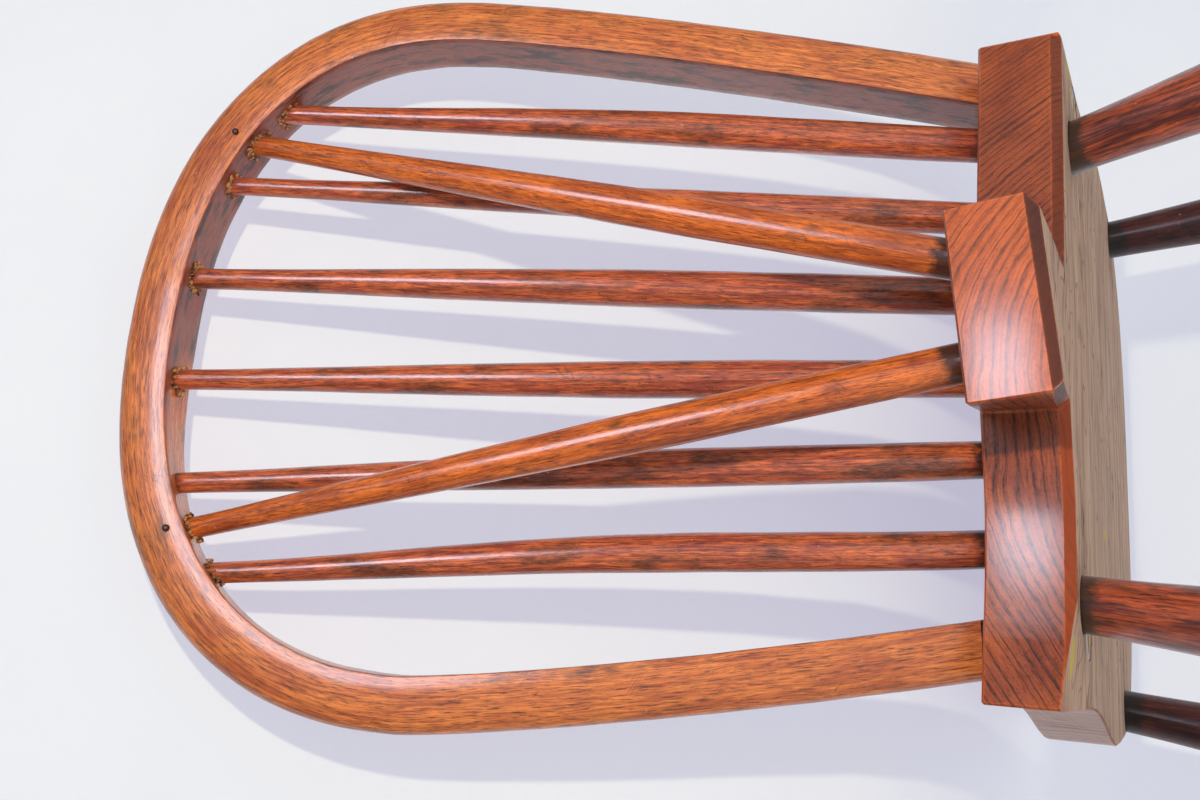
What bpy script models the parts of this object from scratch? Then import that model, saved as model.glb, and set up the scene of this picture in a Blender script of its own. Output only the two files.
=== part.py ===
"""A stick-back side chair: a bowed back, two brace sticks on a tail of the seat, four turned legs.

Metres, with X across the chair, +Y to its back and +Z up. The origin is on the floor, in the
middle of the chair's bounding box. Plan points of the seat are measured from the middle of
its rear edge, and the back is drawn in the leaning plane that the bow lies in.
"""

import math

import bmesh
import bpy
from mathutils import Matrix, Vector

# Fit of one piece in another
CLEARANCE = 0.0003
BOW_HOLE_SLACK = 0.0006

# Seat plank
SEAT_HEIGHT = 0.440
SEAT_THICKNESS = 0.039
SEAT_REAR_LEFT = -0.1615
SEAT_REAR_RIGHT = 0.1645
SEAT_WAIST_HALF = 0.165
SEAT_WAIST_Y = -0.090
SEAT_SIDE_HALF = 0.186
SEAT_SIDE_Y = -0.240
SEAT_CORNER_HALF = 0.148
SEAT_CORNER_Y = -0.366
SEAT_DEPTH = 0.407
REAR_CORNER_Y = 0.006
REAR_HOLLOW_X = 0.080
REAR_HOLLOW_Y = -0.005
REAR_SWELL_X = -0.080
REAR_SWELL_Y = 0.011
CHAMFER = 0.0075
ARRIS = 0.0016
ARRIS_ANGLE = math.radians(35)

# Hollow of the seat's top
DISH_HALF_WIDTH = 0.150
DISH_HALF_DEPTH = 0.148
DISH_CENTRE_Y = -0.218
DISH_SINK = 0.007
DISH_BELLY = 0.030
DISH_SEGMENTS = 36
DISH_RINGS = 22

# Worn corner under the seat: plan points where the hewn facet starts, and how far it rises
WORN_REAR_X = 0.104
WORN_SIDE_Y = -0.070
WORN_RISE = 0.0065

# Tail, sawn in one piece with the seat plank
TAIL_LENGTH = 0.058
TAIL_ROOT_LEFT = -0.038
TAIL_ROOT_RIGHT = 0.031
TAIL_ROOT_Y = 0.006
TAIL_END_LEFT = -0.051
TAIL_END_RIGHT = 0.040
TAIL_TWIST = math.radians(6.5)
TAIL_STEPS = 4

# Bowed back
BOW_RAKE = math.radians(24.8)
BOW_SET_BACK = 0.0384
BOW_WIDTH = 0.0285
BOW_DEPTH = 0.0300
BOW_CROWN = 4.0
BOW_HALF = 0.1888
BOW_FOOT_HALF = 0.1475
BOW_SHOULDER = 0.290
BOW_RISE = 0.1594
BOW_SQUARENESS = 2.25
BOW_ARM_CURVE = 1.3
BOW_FOOT_SHIFT = -0.0090
BOW_SLANT = 0.22
BOW_TENON_RADIUS = 0.0115
BOW_ARM_STEPS = 10
BOW_TOP_STEPS = 28
BOW_OUTER_POINTS = 11
BOW_FLAT_STEPS = 3

# Back sticks: where each crosses the seat's top and the bow's centre line, girth and sideways bend
STICK_SEAT_X = (-0.1238, -0.0805, -0.0370, 0.0064, 0.0475, 0.0914)
STICK_SEAT_Y = (-0.032, -0.029, -0.027, -0.027, -0.029, -0.032)
STICK_BOW_X = (-0.1325, -0.0865, -0.0295, 0.0295, 0.0865, 0.1325)
STICK_GIRTH = (0.92, 0.87, 1.00, 0.97, 0.97, 0.96)
STICK_BEND = (-0.0020, 0.0, -0.0003, 0.0003, -0.0005, -0.0034)
STICK_SOCKET = 0.0125
STICK_TIP_REACH = 0.002
STICK_PROFILE = (
    (0.0, 0.0098), (0.16, 0.0103), (0.42, 0.0104), (0.66, 0.0086), (0.88, 0.0063), (1.0, 0.0057)
)

# Brace sticks, from the tail to the bow
BRACE_TAIL_X = (-0.0316, 0.0166)
BRACE_TAIL_Y = 0.042
BRACE_BOW_X = (-0.1138, 0.1122)
BRACE_SOCKET = 0.0220
BRACE_PROFILE = (
    (0.0, 0.0093), (0.10, 0.0097), (0.38, 0.0101), (0.64, 0.0084), (0.88, 0.0063), (1.0, 0.0057)
)
PIN_RADIUS = 0.0013
PIN_FROM_TIP = 0.008
PIN_SINK = 0.0004
PIN_LENGTH = 0.021

# Wedges in the bow's tenons
WEDGE_WIDTH = 0.0165
WEDGE_THICK = 0.0032
WEDGE_TIP = 0.0012
WEDGE_LENGTH = 0.016

# Legs: splay is sideways and rake fore and aft, both as a slope
LEG_REAR_X = 0.116
LEG_REAR_Y = -0.033
LEG_REAR_SPLAY = 0.120
LEG_REAR_RAKE = 0.300
LEG_FRONT_X = 0.167
LEG_FRONT_Y = -0.294
LEG_FRONT_SPLAY = 0.128
LEG_FRONT_RAKE = -0.045
LEG_SOCKET = 0.0170
LEG_TOP_RADIUS = 0.01325
LEG_TENON_RADIUS = 0.0105
LEG_PROFILE = (
    (0.0, LEG_TOP_RADIUS), (0.10, 0.0149), (0.24, 0.0178), (0.40, 0.0192), (0.58, 0.0186),
    (0.80, 0.0155), (1.0, 0.0130),
)

# Stretchers
STRETCHER_HEIGHT = 0.185
STRETCHER_END_RADIUS = 0.0085
STRETCHER_MID_RADIUS = 0.0125
STRETCHER_SOCKET = 0.013
STRETCHER_SWELL = 1.5
CROSS_END_RADIUS = 0.0080
CROSS_MID_RADIUS = 0.0115
CROSS_SOCKET = 0.008

# Facets and steps
STICK_SIDES = 14
STICK_RESOLUTION = 4
STICK_STEPS = 10
LEG_SIDES = 18
LEG_STEPS = 11
STRETCHER_STEPS = 8
PIN_SIDES = 10
OUTLINE_STEPS = 7
PROFILE_REACH = 0.06
SHARP_ANGLE = math.radians(40)

# Lengths of the drawing itself: how far cutters run over, and what counts as one point
OVERSHOOT = 0.020
NEAR = 0.0001
WELD = 0.00001

SEAT_UNDERSIDE = SEAT_HEIGHT - SEAT_THICKNESS
ACROSS = Vector((1, 0, 0))
BACK_UP = Vector((0, math.sin(BOW_RAKE), math.cos(BOW_RAKE)))
BACK_OUT = Vector((0, math.cos(BOW_RAKE), -math.sin(BOW_RAKE)))

SEAT_WOOD = (0.130, 0.042, 0.018)
BOW_WOOD = (0.200, 0.058, 0.020)
STICK_WOOD = (0.180, 0.045, 0.018)
BRACE_WOOD = (0.240, 0.075, 0.022)
LEG_WOOD = (0.085, 0.022, 0.014)
WEDGE_WOOD = (0.420, 0.300, 0.130)
PIN_IRON = (0.060, 0.045, 0.040)


def clear_scene():
    for old in list(bpy.data.objects):
        bpy.data.objects.remove(old, do_unlink=True)


def collection(name):
    made = bpy.data.collections.new(name)
    bpy.context.scene.collection.children.link(made)
    return made


clear_scene()
CHAIR = collection("stick_back_chair")
CUTTERS = collection("cutters")
FRAME = bpy.data.objects.new("chair_frame", None)
CHAIR.objects.link(FRAME)


def finish(name, colour, roughness, metallic=0.0):
    """One Principled material."""
    made = bpy.data.materials.new(name)
    made.use_nodes = True
    shader = made.node_tree.nodes["Principled BSDF"]
    shader.inputs["Base Color"].default_value = (*colour, 1.0)
    shader.inputs["Roughness"].default_value = roughness
    shader.inputs["Metallic"].default_value = metallic
    return made


def mesh_from(build):
    """A mesh made by one function that fills a BMesh."""
    shape = bmesh.new()
    build(shape)
    mesh = bpy.data.meshes.new("shape")
    shape.to_mesh(mesh)
    shape.free()
    return mesh


def place(name, mesh, home, material=None):
    mesh.name = name
    made = bpy.data.objects.new(name, mesh)
    home.objects.link(made)
    made.parent = FRAME
    if material:
        mesh.materials.append(material)
    return made


def hide_cutter(cutter):
    cutter.hide_render = True
    cutter.display_type = "WIRE"
    return cutter


def smooth(obj):
    obj.data.shade_smooth()
    obj.data.set_sharp_from_angle(angle=SHARP_ANGLE)


def aim(obj, start, end):
    """Put the object's origin at start and its Z axis along the way to end."""
    obj.location = start
    obj.rotation_euler = (end - start).to_track_quat("Z", "Y").to_euler()


def cut(obj, cutter):
    step = obj.modifiers.new(cutter.name, "BOOLEAN")
    step.operation = "DIFFERENCE"
    step.solver = "EXACT"
    step.object = cutter


def round_cutter(name, start, end, start_radius, end_radius, sides):
    """A round cutter whose flats, not its corners, stand at the radii given."""
    widen = 1 / math.cos(math.pi / sides)
    length = (end - start).length

    def build(shape):
        bmesh.ops.create_cone(
            shape,
            cap_ends=True,
            segments=sides,
            radius1=start_radius * widen,
            radius2=end_radius * widen,
            depth=length,
            matrix=Matrix.Translation((0, 0, length / 2)),
        )

    cutter = place(name, mesh_from(build), CUTTERS)
    aim(cutter, start, end)
    return hide_cutter(cutter)


def block_cutter(name, size, centre):
    def build(shape):
        bmesh.ops.create_cube(shape, size=1.0, matrix=Matrix.Diagonal((*size, 1.0)))

    cutter = place(name, mesh_from(build), CUTTERS)
    cutter.location = centre
    return hide_cutter(cutter)


def mesh_of_curve(name, data):
    """The mesh that a curve draws; the curve itself goes."""
    curve = bpy.data.objects.new(name, data)
    CUTTERS.objects.link(curve)
    bpy.context.view_layer.update()
    graph = bpy.context.evaluated_depsgraph_get()
    mesh = bpy.data.meshes.new_from_object(curve.evaluated_get(graph))
    bpy.data.objects.remove(curve, do_unlink=True)
    return mesh


def radius_at(profile, share):
    """The radius at this share of a profile's length."""
    for (low, low_radius), (high, high_radius) in zip(profile, profile[1:]):
        if share <= high:
            part = (share - low) / (high - low)
            return low_radius + (high_radius - low_radius) * part
    return profile[-1][1]


def softened(profile, share):
    """The profile's radius averaged over a short stretch, so that a turned piece has no kinks."""
    shares = [min(1.0, max(0.0, share + PROFILE_REACH * step)) for step in (-1, -0.5, 0, 0.5, 1)]
    return sum(radius_at(profile, each) for each in shares) / len(shares)


def turned(name, outline, start, end, sides, material):
    """A turned piece from start to end. outline holds (height, radius) pairs, from start up."""
    length = (end - start).length
    heights = [0.0, *(height for height, _ in outline), length]
    radii = [0.0, *(radius for _, radius in outline), 0.0]

    def build(shape):
        points = [shape.verts.new((radius, 0, height)) for height, radius in zip(heights, radii)]
        points.reverse()
        for upper, lower in zip(points, points[1:]):
            shape.edges.new((upper, lower))

    made = place(name, mesh_from(build), CHAIR, material)
    lathe = made.modifiers.new("lathe", "SCREW")
    lathe.axis = "Z"
    lathe.angle = math.tau
    lathe.steps = sides
    lathe.render_steps = sides
    lathe.use_merge_vertices = True
    lathe.merge_threshold = WELD
    lathe.use_smooth_shade = True
    aim(made, start, end)
    return made


def seat_point(x, y, z=SEAT_THICKNESS):
    """A point of the seat: x and y in its plan, z above its underside."""
    return Vector((x, y, SEAT_UNDERSIDE + z))


def back_point(x, up, out=0.0):
    """A point of the back: x across, up along the bow's plane from the seat's top, out behind it."""
    return seat_point(x, -BOW_SET_BACK) + BACK_UP * up + BACK_OUT * out


def side_outline(side):
    """Plan points of one side of the seat, from the rear corner to the front corner."""
    corner_x = SEAT_REAR_RIGHT if side > 0 else SEAT_REAR_LEFT
    return [
        (corner_x, REAR_CORNER_Y, "VECTOR"),
        (side * SEAT_WAIST_HALF, SEAT_WAIST_Y, "AUTO"),
        (side * SEAT_SIDE_HALF, SEAT_SIDE_Y, "AUTO"),
        (side * SEAT_CORNER_HALF, SEAT_CORNER_Y, "AUTO"),
    ]


def seat_outline():
    """The seat's plan as a closed Bezier curve, turned into a list of plan points."""
    rear = [
        (REAR_SWELL_X, REAR_SWELL_Y, "AUTO"),
        (TAIL_ROOT_LEFT, TAIL_ROOT_Y + REAR_SWELL_Y, "VECTOR"),
        (TAIL_ROOT_RIGHT, TAIL_ROOT_Y, "VECTOR"),
        (REAR_HOLLOW_X, REAR_HOLLOW_Y, "AUTO"),
    ]
    front = [(0.0, -SEAT_DEPTH, "AUTO")]
    ring = rear + side_outline(1) + front + side_outline(-1)[::-1]
    data = bpy.data.curves.new("seat_plan", "CURVE")
    data.dimensions = "2D"
    data.fill_mode = "NONE"
    data.resolution_u = OUTLINE_STEPS
    line = data.splines.new("BEZIER")
    line.bezier_points.add(len(ring) - 1)
    line.use_cyclic_u = True
    for point, (x, y, handle) in zip(line.bezier_points, ring):
        point.co = (x, y, 0)
        point.handle_left_type = handle
        point.handle_right_type = handle
    plan = mesh_of_curve("seat_plan", data)
    points = [vertex.co.xy.copy() for vertex in plan.vertices]
    bpy.data.meshes.remove(plan)
    return points


def is_root(vertex):
    """Whether this vertex is a corner of the tail's root."""
    place_in_plan = vertex.co.xy
    left = Vector((TAIL_ROOT_LEFT, TAIL_ROOT_Y + REAR_SWELL_Y))
    right = Vector((TAIL_ROOT_RIGHT, TAIL_ROOT_Y))
    return min((place_in_plan - left).length, (place_in_plan - right).length) < NEAR


def draw_tail(shape, root):
    """Extrude the root's face backwards in steps, each a little wider and more twisted."""
    face = root
    end_y = TAIL_ROOT_Y + TAIL_LENGTH
    for step in range(1, TAIL_STEPS + 1):
        share = step / TAIL_STEPS
        face = bmesh.ops.extrude_discrete_faces(shape, faces=[face])["faces"][0]
        for vertex in face.verts:
            at_left = vertex.co.x < 0
            near_x = TAIL_ROOT_LEFT if at_left else TAIL_ROOT_RIGHT
            far_x = TAIL_END_LEFT if at_left else TAIL_END_RIGHT
            near_y = TAIL_ROOT_Y + REAR_SWELL_Y if at_left else TAIL_ROOT_Y
            high = vertex.co.z > SEAT_THICKNESS / 2
            height = SEAT_THICKNESS / 2 if high else -SEAT_THICKNESS / 2
            x = near_x + (far_x - near_x) * share
            turn = TAIL_TWIST * share
            vertex.co = (
                x * math.cos(turn) + height * math.sin(turn),
                near_y + (end_y - near_y) * share,
                SEAT_THICKNESS / 2 + height * math.cos(turn) - x * math.sin(turn),
            )


def tail_top(x, y):
    """The point on the tail's twisted top above this place in plan."""
    share = (y - TAIL_ROOT_Y) / TAIL_LENGTH
    return seat_point(x, y) - Vector((0, 0, x * math.tan(TAIL_TWIST * share)))


def weigh_arrises(shape):
    """Bevel weights: full on the lower arris of the rear edge and the tail, slight elsewhere."""
    weights = shape.edges.layers.float.new("bevel_weight_edge")
    slight = ARRIS / CHAMFER
    for edge in shape.edges:
        if len(edge.link_faces) < 2 or edge.calc_face_angle(0.0) < ARRIS_ANGLE:
            continue
        low = max(vertex.co.z for vertex in edge.verts) < SEAT_THICKNESS / 2
        rear = min(vertex.co.y for vertex in edge.verts) > REAR_HOLLOW_Y - NEAR
        edge[weights] = 1.0 if low and rear else slight


def seat_shape(shape):
    plan = [shape.verts.new((point.x, point.y, 0)) for point in seat_outline()]
    underside = shape.faces.new(plan)
    raised = bmesh.ops.extrude_face_region(shape, geom=[underside])
    for item in raised["geom"]:
        if isinstance(item, bmesh.types.BMVert):
            item.co.z = SEAT_THICKNESS
    root = next(face for face in shape.faces if len(face.verts) == 4 and all(map(is_root, face.verts)))
    draw_tail(shape, root)
    bmesh.ops.recalc_face_normals(shape, faces=shape.faces)
    weigh_arrises(shape)


def make_dish():
    """The shallow hollow of the seat's top, as the lower end of a flat ellipsoid."""
    spread = math.sqrt(1 - (1 - DISH_SINK / DISH_BELLY) ** 2)
    size = (DISH_HALF_WIDTH / spread, DISH_HALF_DEPTH / spread, DISH_BELLY, 1.0)

    def build(shape):
        matrix = Matrix.Diagonal(size)
        bmesh.ops.create_uvsphere(
            shape, u_segments=DISH_SEGMENTS, v_segments=DISH_RINGS, radius=1.0, matrix=matrix
        )

    dish = place("dish_cutter", mesh_from(build), CUTTERS)
    dish.location = seat_point(0, DISH_CENTRE_Y, SEAT_THICKNESS + DISH_BELLY - DISH_SINK)
    return hide_cutter(dish)


def make_worn_corner():
    """A block whose top is the hewn facet under the seat's right rear corner."""
    at_rear = seat_point(WORN_REAR_X, REAR_CORNER_Y, 0)
    at_side = seat_point(SEAT_WAIST_HALF, WORN_SIDE_Y, 0)
    at_corner = seat_point(SEAT_REAR_RIGHT, REAR_CORNER_Y, WORN_RISE)
    up = (at_corner - at_rear).cross(at_side - at_corner)
    up = up if up.z > 0 else -up
    depth = 4 * OVERSHOOT
    worn = block_cutter("worn_corner", (2 * SEAT_DEPTH, 2 * SEAT_DEPTH, depth), at_rear)
    worn.rotation_euler = up.to_track_quat("Z", "Y").to_euler()
    worn.location = at_rear - up.normalized() * (depth / 2)
    return worn


def make_seat():
    seat = place("seat", mesh_from(seat_shape), CHAIR, finish("seat_wood", SEAT_WOOD, 0.45))
    seat.location = seat_point(0, 0, 0)
    ease = seat.modifiers.new("arrises", "BEVEL")
    ease.limit_method = "WEIGHT"
    ease.width = CHAMFER
    ease.segments = 1
    ease.use_clamp_overlap = True
    seat.modifiers.new("triangles", "TRIANGULATE")
    cut(seat, make_dish())
    return seat


def arch_point(share):
    """A point (x, up) of the arch's centre line, for -1 to 1 from its left end to its right."""
    angle = math.pi / 2 * (1 - abs(share))
    power = 2 / BOW_SQUARENESS
    x = BOW_HALF * math.cos(angle) ** power
    up = BOW_SHOULDER + BOW_RISE * math.sin(angle) ** power
    return math.copysign(x, share), up


def arch_height(x):
    """How far up the bow's plane the arch's centre line passes over this x."""
    share = min(1.0, abs(x) / BOW_HALF)
    return BOW_SHOULDER + BOW_RISE * (1 - share**BOW_SQUARENESS) ** (1 / BOW_SQUARENESS)


def arm_x(side, up):
    """Where an arm's centre line stands across, at this height up the bow's plane."""
    share = (BOW_SHOULDER - up) / BOW_SHOULDER
    spread = BOW_HALF - (BOW_HALF - BOW_FOOT_HALF) * share**BOW_ARM_CURVE
    return side * spread + BOW_FOOT_SHIFT * share


def foot_way(side):
    """The way up an arm where it stands on the seat."""
    lean = (arm_x(side, NEAR) - arm_x(side, 0.0)) / NEAR
    return (ACROSS * lean + BACK_UP).normalized()


def bow_stations():
    """Points (x, up) along the centre line above the seat, from the left arm over the top."""
    heights = [BOW_SHOULDER * step / BOW_ARM_STEPS for step in range(1, BOW_ARM_STEPS)]
    left = [(arm_x(-1, up), up) for up in heights]
    right = [(arm_x(1, up), up) for up in reversed(heights)]
    top = [arch_point(2 * step / BOW_TOP_STEPS - 1) for step in range(BOW_TOP_STEPS + 1)]
    return left + top + right


def bow_section():
    """Section points (outward, behind): a flat inner face and a crowned outer half."""
    power = 2 / BOW_CROWN
    inner = -BOW_WIDTH / 2
    points = []
    for step in range(BOW_OUTER_POINTS):
        angle = math.pi * (step / (BOW_OUTER_POINTS - 1) - 0.5)
        outward = inner + BOW_WIDTH * abs(math.cos(angle)) ** power
        behind = math.copysign(BOW_DEPTH / 2 * abs(math.sin(angle)) ** power, angle)
        points.append(Vector((outward, behind)))
    for step in range(1, BOW_FLAT_STEPS):
        points.append(Vector((inner, BOW_DEPTH * (0.5 - step / BOW_FLAT_STEPS))))
    return points


def bow_slant(x, up):
    """How much the section leans outward over its depth, which it does about the right corner only."""
    if x <= 0 or up <= BOW_SHOULDER:
        return 0.0
    angle = math.atan2(up - BOW_SHOULDER, x)
    return BOW_SLANT * math.sin(2 * angle) ** 2


def bow_ring(section, x, up, along):
    """The section's points around one station of the centre line."""
    outward = Vector((-along.y, along.x))
    slant = bow_slant(x, up)
    ring = []
    for point in section:
        lean = slant * (BOW_DEPTH / 2 - point.y)
        flat = Vector((x, up)) + outward * (point.x + lean)
        ring.append(back_point(flat.x, flat.y, point.y))
    return ring


def foot_rings(section, side):
    """Rings that end an arm, upwards: the tenon's end, its root, and the arm's foot around that."""
    way = foot_way(side)
    outward = side * BACK_OUT.cross(way)
    middle = back_point(arm_x(side, 0), 0)
    tenon = [point.normalized() * BOW_TENON_RADIUS for point in section]
    foot_height = SEAT_HEIGHT + CLEARANCE
    rings = []
    for points, height in (
        (tenon, SEAT_UNDERSIDE - OVERSHOOT),
        (tenon, foot_height),
        (section, foot_height),
    ):
        placed = [middle + outward * point.x + BACK_OUT * point.y for point in points]
        rings.append([each + way * ((height - each.z) / way.z) for each in placed])
    return rings


def bow_shape(shape):
    stations = [Vector(station) for station in bow_stations()]
    section = bow_section()
    rings = []
    for index, middle in enumerate(stations):
        before = stations[max(0, index - 1)]
        after = stations[min(len(stations) - 1, index + 1)]
        rings.append(bow_ring(section, middle.x, middle.y, (after - before).normalized()))
    rings = foot_rings(section, -1) + rings + foot_rings(section, 1)[::-1]
    loops = [[shape.verts.new(point) for point in ring] for ring in rings]
    for low, high in zip(loops, loops[1:]):
        for index in range(len(section)):
            after = (index + 1) % len(section)
            shape.faces.new((low[index], low[after], high[after], high[index]))
    shape.faces.new(loops[0])
    shape.faces.new(loops[-1])
    bmesh.ops.recalc_face_normals(shape, faces=shape.faces)


def make_bow():
    bow = place("bow", mesh_from(bow_shape), CHAIR, finish("bow_wood", BOW_WOOD, 0.30))
    smooth(bow)
    return bow


def tenon_end(side):
    """Where a tenon's axis leaves the seat's underside, and the way up it."""
    way = foot_way(side)
    start = back_point(arm_x(side, 0), 0)
    return start - way * (SEAT_THICKNESS / way.z), way


def fit_bow(seat, bow):
    """Through holes for the bow's tenons, and the tenons sawn off flush under the seat."""
    hole = BOW_TENON_RADIUS + CLEARANCE
    for side, hand in ((-1, "left"), (1, "right")):
        end, way = tenon_end(side)
        start = end - way * OVERSHOOT
        reach = end + way * (SEAT_THICKNESS / way.z + OVERSHOOT)
        cut(seat, round_cutter(f"bow_hole_{hand}", start, reach, hole, hole, LEG_SIDES))
    depth = 2 * OVERSHOOT
    size = (4 * BOW_HALF, 8 * OVERSHOOT, depth)
    flush = block_cutter("underside_cutter", size, seat_point(0, -BOW_SET_BACK, -depth / 2))
    cut(bow, flush)
    return flush


def wedge_mesh(width, thick, tip, length):
    """A wedge about its own middle, with the tip up."""

    def build(shape):
        bmesh.ops.create_cube(shape, size=1.0)
        for vertex in shape.verts:
            high = vertex.co.z > 0
            vertex.co.x *= width
            vertex.co.y *= tip if high else thick
            vertex.co.z *= length

    return mesh_from(build)


def make_wedges(bow, flush):
    pale = finish("wedge_wood", WEDGE_WOOD, 0.7)
    spare = OVERSHOOT / 2
    length = WEDGE_LENGTH + spare
    thick = WEDGE_THICK + (WEDGE_THICK - WEDGE_TIP) / WEDGE_LENGTH * spare
    room = 2 * CLEARANCE
    for side, hand in ((-1, "left"), (1, "right")):
        end, way = tenon_end(side)
        body = wedge_mesh(WEDGE_WIDTH, thick, WEDGE_TIP, length)
        wedge = place(f"bow_wedge_{hand}", body, CHAIR, pale)
        hollow = wedge_mesh(WEDGE_WIDTH + room, thick + room, WEDGE_TIP + room, length + room)
        slot = hide_cutter(place(f"wedge_slot_{hand}", hollow, CUTTERS))
        for piece in (wedge, slot):
            piece.location = end + way * (length / 2 - spare)
            piece.rotation_euler = way.to_track_quat("Z", "Y").to_euler()
        cut(bow, slot)
        cut(wedge, flush)


def stick_stations(profile, girth, bend, foot, head):
    """(point, radius) along a stick's shown length, which may bend a little sideways."""
    shoulder = head - (head - foot).normalized() * (BOW_WIDTH / 2)
    stations = []
    for step in range(STICK_STEPS + 1):
        share = step / STICK_STEPS
        middle = foot.lerp(shoulder, share) + ACROSS * bend * math.sin(math.pi * share) ** 2
        stations.append((middle, softened(profile, share) * girth))
    return stations


def drawn(name, stations, material):
    """A round piece drawn through (point, radius) stations, with its ends welded shut."""
    data = bpy.data.curves.new(name, "CURVE")
    data.dimensions = "3D"
    data.bevel_depth = 1.0
    data.bevel_resolution = STICK_RESOLUTION
    data.use_fill_caps = True
    line = data.splines.new("POLY")
    line.points.add(len(stations) - 1)
    for point, (middle, radius) in zip(line.points, stations):
        point.co = (*middle, 1.0)
        point.radius = radius
    mesh = mesh_of_curve(name, data)
    shape = bmesh.new()
    shape.from_mesh(mesh)
    bmesh.ops.remove_doubles(shape, verts=shape.verts, dist=WELD)
    bmesh.ops.recalc_face_normals(shape, faces=shape.faces)
    shape.to_mesh(mesh)
    shape.free()
    mesh.materials.clear()
    made = place(name, mesh, CHAIR, material)
    smooth(made)
    return made


def make_stick(name, ends, form, socket, seat, bow, material):
    """A stick between its ends (foot, head), in the form (profile, girth, bend), with both sockets."""
    foot, head = ends
    profile, girth, bend = form
    way = (head - foot).normalized()
    start = foot - way * socket
    end = head + way * STICK_TIP_REACH
    first = profile[0][1] * girth
    last = profile[-1][1] * girth
    shown = stick_stations(profile, girth, bend, foot, head)
    stick = drawn(name, [(start, first), *shown, (end, last)], material)
    low = start - way * CLEARANCE
    above = foot + way * OVERSHOOT
    hole = first + CLEARANCE
    cut(seat, round_cutter(f"{name}_seat_socket", low, above, hole, hole, STICK_SIDES))
    below = head - way * (BOW_WIDTH + OVERSHOOT)
    high = end + way * CLEARANCE
    hole = last + BOW_HOLE_SLACK
    cut(bow, round_cutter(f"{name}_bow_socket", below, high, hole, hole, STICK_SIDES))
    return stick


def make_back_sticks(seat, bow):
    red = finish("stick_wood", STICK_WOOD, 0.32)
    places = zip(STICK_SEAT_X, STICK_SEAT_Y, STICK_BOW_X, STICK_GIRTH, STICK_BEND)
    for number, (seat_x, seat_y, bow_x, girth, bend) in enumerate(places, start=1):
        foot = seat_point(seat_x, seat_y)
        head = back_point(bow_x, arch_height(bow_x))
        socket = STICK_SOCKET / (head - foot).normalized().z
        form = (STICK_PROFILE, girth, bend)
        make_stick(f"back_stick_{number}", (foot, head), form, socket, seat, bow, red)


def make_braces(seat, bow):
    golden = finish("brace_wood", BRACE_WOOD, 0.28)
    dark = finish("pin_iron", PIN_IRON, 0.5, metallic=1.0)
    for tail_x, bow_x, hand in zip(BRACE_TAIL_X, BRACE_BOW_X, ("left", "right")):
        ends = (tail_top(tail_x, BRACE_TAIL_Y), back_point(bow_x, arch_height(bow_x)))
        form = (BRACE_PROFILE, 1.0, 0.0)
        brace = make_stick(f"brace_stick_{hand}", ends, form, BRACE_SOCKET, seat, bow, golden)
        pin_brace(hand, brace, bow, ends, dark)


def pin_brace(hand, brace, bow, ends, material):
    """A headless pin driven from behind through the bow and the brace's tip."""
    foot, head = ends
    way = (head - foot).normalized()
    middle = head + way * (STICK_TIP_REACH - PIN_FROM_TIP)
    outer = middle + BACK_OUT * (BOW_DEPTH / 2 - PIN_SINK)
    inner = outer - BACK_OUT * PIN_LENGTH
    outline = [(0.0, PIN_RADIUS), (PIN_LENGTH, PIN_RADIUS)]
    turned(f"bow_pin_{hand}", outline, inner, outer, PIN_SIDES, material)
    hole = PIN_RADIUS + CLEARANCE
    low = inner - BACK_OUT * CLEARANCE
    high = outer + BACK_OUT * OVERSHOOT
    driven = round_cutter(f"pin_hole_{hand}", low, high, hole, hole, PIN_SIDES)
    cut(bow, driven)
    cut(brace, driven)


def leg_axis(side, front):
    """Where a leg's axis meets the seat's underside, and its way for each metre down."""
    if front:
        top = seat_point(side * LEG_FRONT_X, LEG_FRONT_Y, 0)
        return top, Vector((side * LEG_FRONT_SPLAY, LEG_FRONT_RAKE, -1))
    top = seat_point(side * LEG_REAR_X, LEG_REAR_Y, 0)
    return top, Vector((side * LEG_REAR_SPLAY, LEG_REAR_RAKE, -1))


def leg_point(side, front, height):
    top, fall = leg_axis(side, front)
    return top + fall * (top.z - height)


def make_leg(name, side, front, seat, floor, material):
    top, fall = leg_axis(side, front)
    tip = top - fall * LEG_SOCKET
    end = leg_point(side, front, -OVERSHOOT)
    length = (tip - end).length
    tenon = (tip - top).length
    shown = (top - leg_point(side, front, 0)).length
    below = length - tenon - shown
    outline = [(0.0, LEG_PROFILE[-1][1])]
    for step in range(LEG_STEPS):
        share = 1 - step / LEG_STEPS
        outline.append((below + shown * (1 - share), softened(LEG_PROFILE, share)))
    outline.append((below + shown, LEG_TOP_RADIUS))
    outline.append((length, LEG_TENON_RADIUS))
    leg = turned(name, outline, end, tip, LEG_SIDES, material)
    cut(leg, floor)
    way = (tip - top).normalized()
    taper = (LEG_TOP_RADIUS - LEG_TENON_RADIUS) / tenon
    mouth = LEG_TOP_RADIUS + taper * OVERSHOOT + CLEARANCE
    low = top - way * OVERSHOOT
    high = tip + way * CLEARANCE
    inner = LEG_TENON_RADIUS + CLEARANCE
    cut(seat, round_cutter(f"{name}_socket", low, high, mouth, inner, LEG_SIDES))
    return leg


def make_legs(seat):
    dark = finish("leg_wood", LEG_WOOD, 0.34)
    reach = 4 * SEAT_DEPTH
    floor = block_cutter("floor_cutter", (reach, reach, 2 * OVERSHOOT), (0, 0, -OVERSHOOT))
    legs = {}
    for front, end in ((True, "front"), (False, "rear")):
        for side, hand in ((-1, "left"), (1, "right")):
            legs[side, front] = make_leg(f"leg_{end}_{hand}", side, front, seat, floor, dark)
    return legs


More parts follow.
